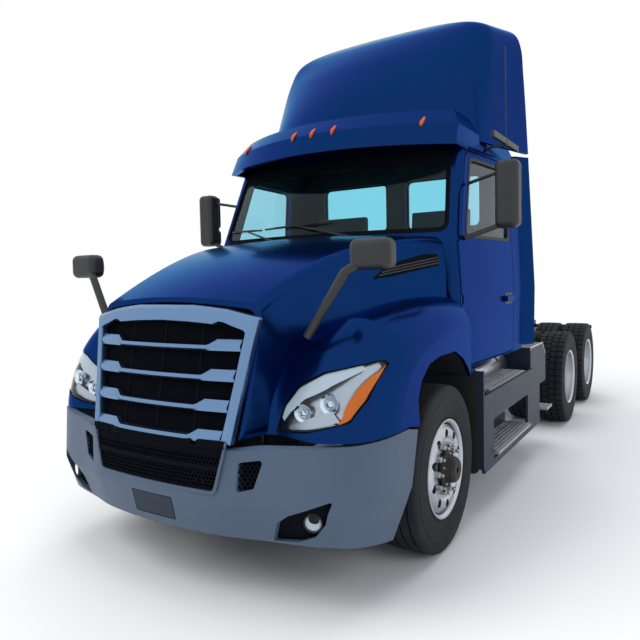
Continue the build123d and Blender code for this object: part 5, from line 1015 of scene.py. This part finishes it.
# ---------- steps, boxes and tanks
back_wall, lids, ribs, straps = builds(4)
back_wall.block(P(1.0162, 2.635, 0.545), (0.004, 1.028, 0.3), 0.001)
back_wall.block(P(1.1, 2.635, 0.652), (0.168, 1.028, 0.004), 0.001)
back_wall.both().piece("step_recess", SKIRT, smooth=30)
lids.tube([P(1.19, a, b) for a, b in ((3.35, 0.996), (3.35, 1.016), (3.828, 1.016), (3.952, 0.902))], 0.0075,
    8)
lids.tube([P(x, 3.35, 1.016) for x in (1.19, 0.6)], 0.0075, 8)
lids.both().piece("box_lid_edges", STEEL, smooth=40)
for s0, s1, x0, x1, z in ((2.13, 3.14, 1.008, 1.186, 0.846), (2.16, 3.11, 1.022, 1.236, 0.4)):
    pitch = (x1 - x0) / 7
    for k in range(7):
        ribs.block(P(x0 + pitch * (k + 0.5), (s0 + s1) / 2, z + 0.001), (pitch * 0.62, s1 - s0, 0.006), 0.002)
ribs.both().piece("tread_ribs", STEP_ALU, smooth=30)
tank_edge = rounded(box(0.515, 0.38, 1, 0.985), 0.11, steps=8)
strap_edge = inset(tank_edge, -0.004)
for s in (2.42, 3.04):
    frame_between(straps, strap_edge, tank_edge, lambda a, b, station: P(a, station, b), s, s + 0.05)
straps.both().piece("tank_straps", STEEL, smooth=30)


# ---------- stage, light, camera
def seen_rays(tree):
    """One for rays from the camera, from a mirror-like surface and through glass."""
    rays = tree.nodes.new("ShaderNodeLightPath").outputs
    total = rays["Is Camera Ray"]
    for kind in ("Is Glossy Ray", "Is Transmission Ray"):
        total = add_node(tree, "Math", {0: total, 1: rays[kind]}, operation="MAXIMUM")
    return total


FLOOR_REACH, SHADOW_REACH = 60, (3.4, 6)  # the floor fades to white beyond an oval round the truck
floor_mesh = bpy.data.meshes.new("floor")
floor_mesh.from_pydata([(a, b, 0) for a, b in box(-FLOOR_REACH, -FLOOR_REACH, FLOOR_REACH, FLOOR_REACH)], [],
    [(0, 1, 2, 3)])
floor = new_object("floor", floor_mesh)
floor_mat, tree, bsdf = new_material("pale_floor")
grain = add_node(tree, "TexNoise", {"Scale": 2}, "Fac")
tone = add_node(tree, "Mix", {"Factor": grain, "A": (0.86, 0.86, 0.865, 1), "B": (0.89, 0.89, 0.89, 1)},
    "Result", data_type="RGBA")
feed(tree, bsdf, {"Base Color": tone, "Roughness": 0.95, "Specular IOR Level": 0.1})
flat = add_node(tree, "VectorMath", {0: add_node(tree, "TexCoord", {}, "Object"),
    1: (1 / SHADOW_REACH[0], 1 / SHADOW_REACH[1], 0)}, operation="MULTIPLY")
far = add_node(tree, "VectorMath", {0: flat}, "Value", operation="LENGTH")
fade = add_node(tree, "MapRange", {"Value": far, "From Min": 0.55, "From Max": 1.25},
    interpolation_type="SMOOTHSTEP")
share = add_node(tree, "Math", {0: fade, 1: seen_rays(tree)}, operation="MULTIPLY")
glow = add_node(tree, "Emission", {"Color": (1, 1, 1, 1), "Strength": 1})
ground = add_node(tree, "MixShader", {"Fac": share, 1: bsdf.outputs["BSDF"], 2: glow})
feed(tree, tree.nodes["Material Output"], {"Surface": ground})
floor_mesh.materials.append(floor_mat)

world = bpy.data.worlds.new("studio")
bpy.context.scene.world = world
world.use_nodes = True
tree = world.node_tree
background = tree.nodes["Background"]
feed(tree, background, {"Color": (0.86, 0.93, 1, 1), "Strength": 0.42})
white = add_node(tree, "Background", {"Color": (1, 1, 1, 1), "Strength": 1})
blend = add_node(tree, "MixShader", {"Fac": seen_rays(tree), 1: background.outputs["Background"], 2: white})
feed(tree, tree.nodes["World Output"], {"Surface": blend})

for name, where, aim, size, power, colour in (("key", (-6.5, -10.5, 10), (0, -1, 1.4), (9, 9), 1150,
        (1, 0.985, 0.96)), ("fill", (11, -6, 6.5), (0, 0, 1.6), (8, 6), 420, (0.94, 0.97, 1)),
        ("top", (0, 0.5, 12), (0, 0, 0), (9, 13), 800, (1, 1, 1)),
        ("back", (-4, 13, 7), (0, 1, 1.5), (8, 6), 420, (1, 1, 1))):
    light = bpy.data.lights.new(name, "AREA")
    light.shape = "RECTANGLE"
    light.size, light.size_y = size
    light.energy = power
    light.color = colour
    obj = new_object(name, light)
    obj.location = where
    obj.visible_glossy = obj.visible_transmission = obj.visible_camera = False
    obj.rotation_euler = (Vector(aim) - Vector(where)).to_track_quat("-Z", "Y").to_euler()

FOCAL_PX, FRAME_PX, CENTRE_PX, SENSOR = 604.175, 640, (316.787, 311.036), 36
AZIMUTH, ELEVATION, ROLL = radians(32.317), radians(3.069), radians(-1.235)
camera = bpy.data.cameras.new("camera")
cam = new_object("camera", camera)
bpy.context.scene.camera = cam
camera.sensor_width = SENSOR
camera.lens = FOCAL_PX / FRAME_PX * SENSOR
camera.shift_x = (FRAME_PX / 2 - CENTRE_PX[0]) / FRAME_PX
camera.shift_y = (CENTRE_PX[1] - FRAME_PX / 2) / FRAME_PX
camera.clip_start, camera.clip_end = 0.05, 200
turn = Matrix.Rotation(AZIMUTH, 4, "Z") @ Matrix.Rotation(pi / 2 - ELEVATION, 4, "X")
cam.matrix_world = Matrix.Translation(P(2.45, -2.18, 1.674)) @ turn @ Matrix.Rotation(ROLL, 4, "Z")
bpy.context.scene.view_settings.view_transform = "Standard"
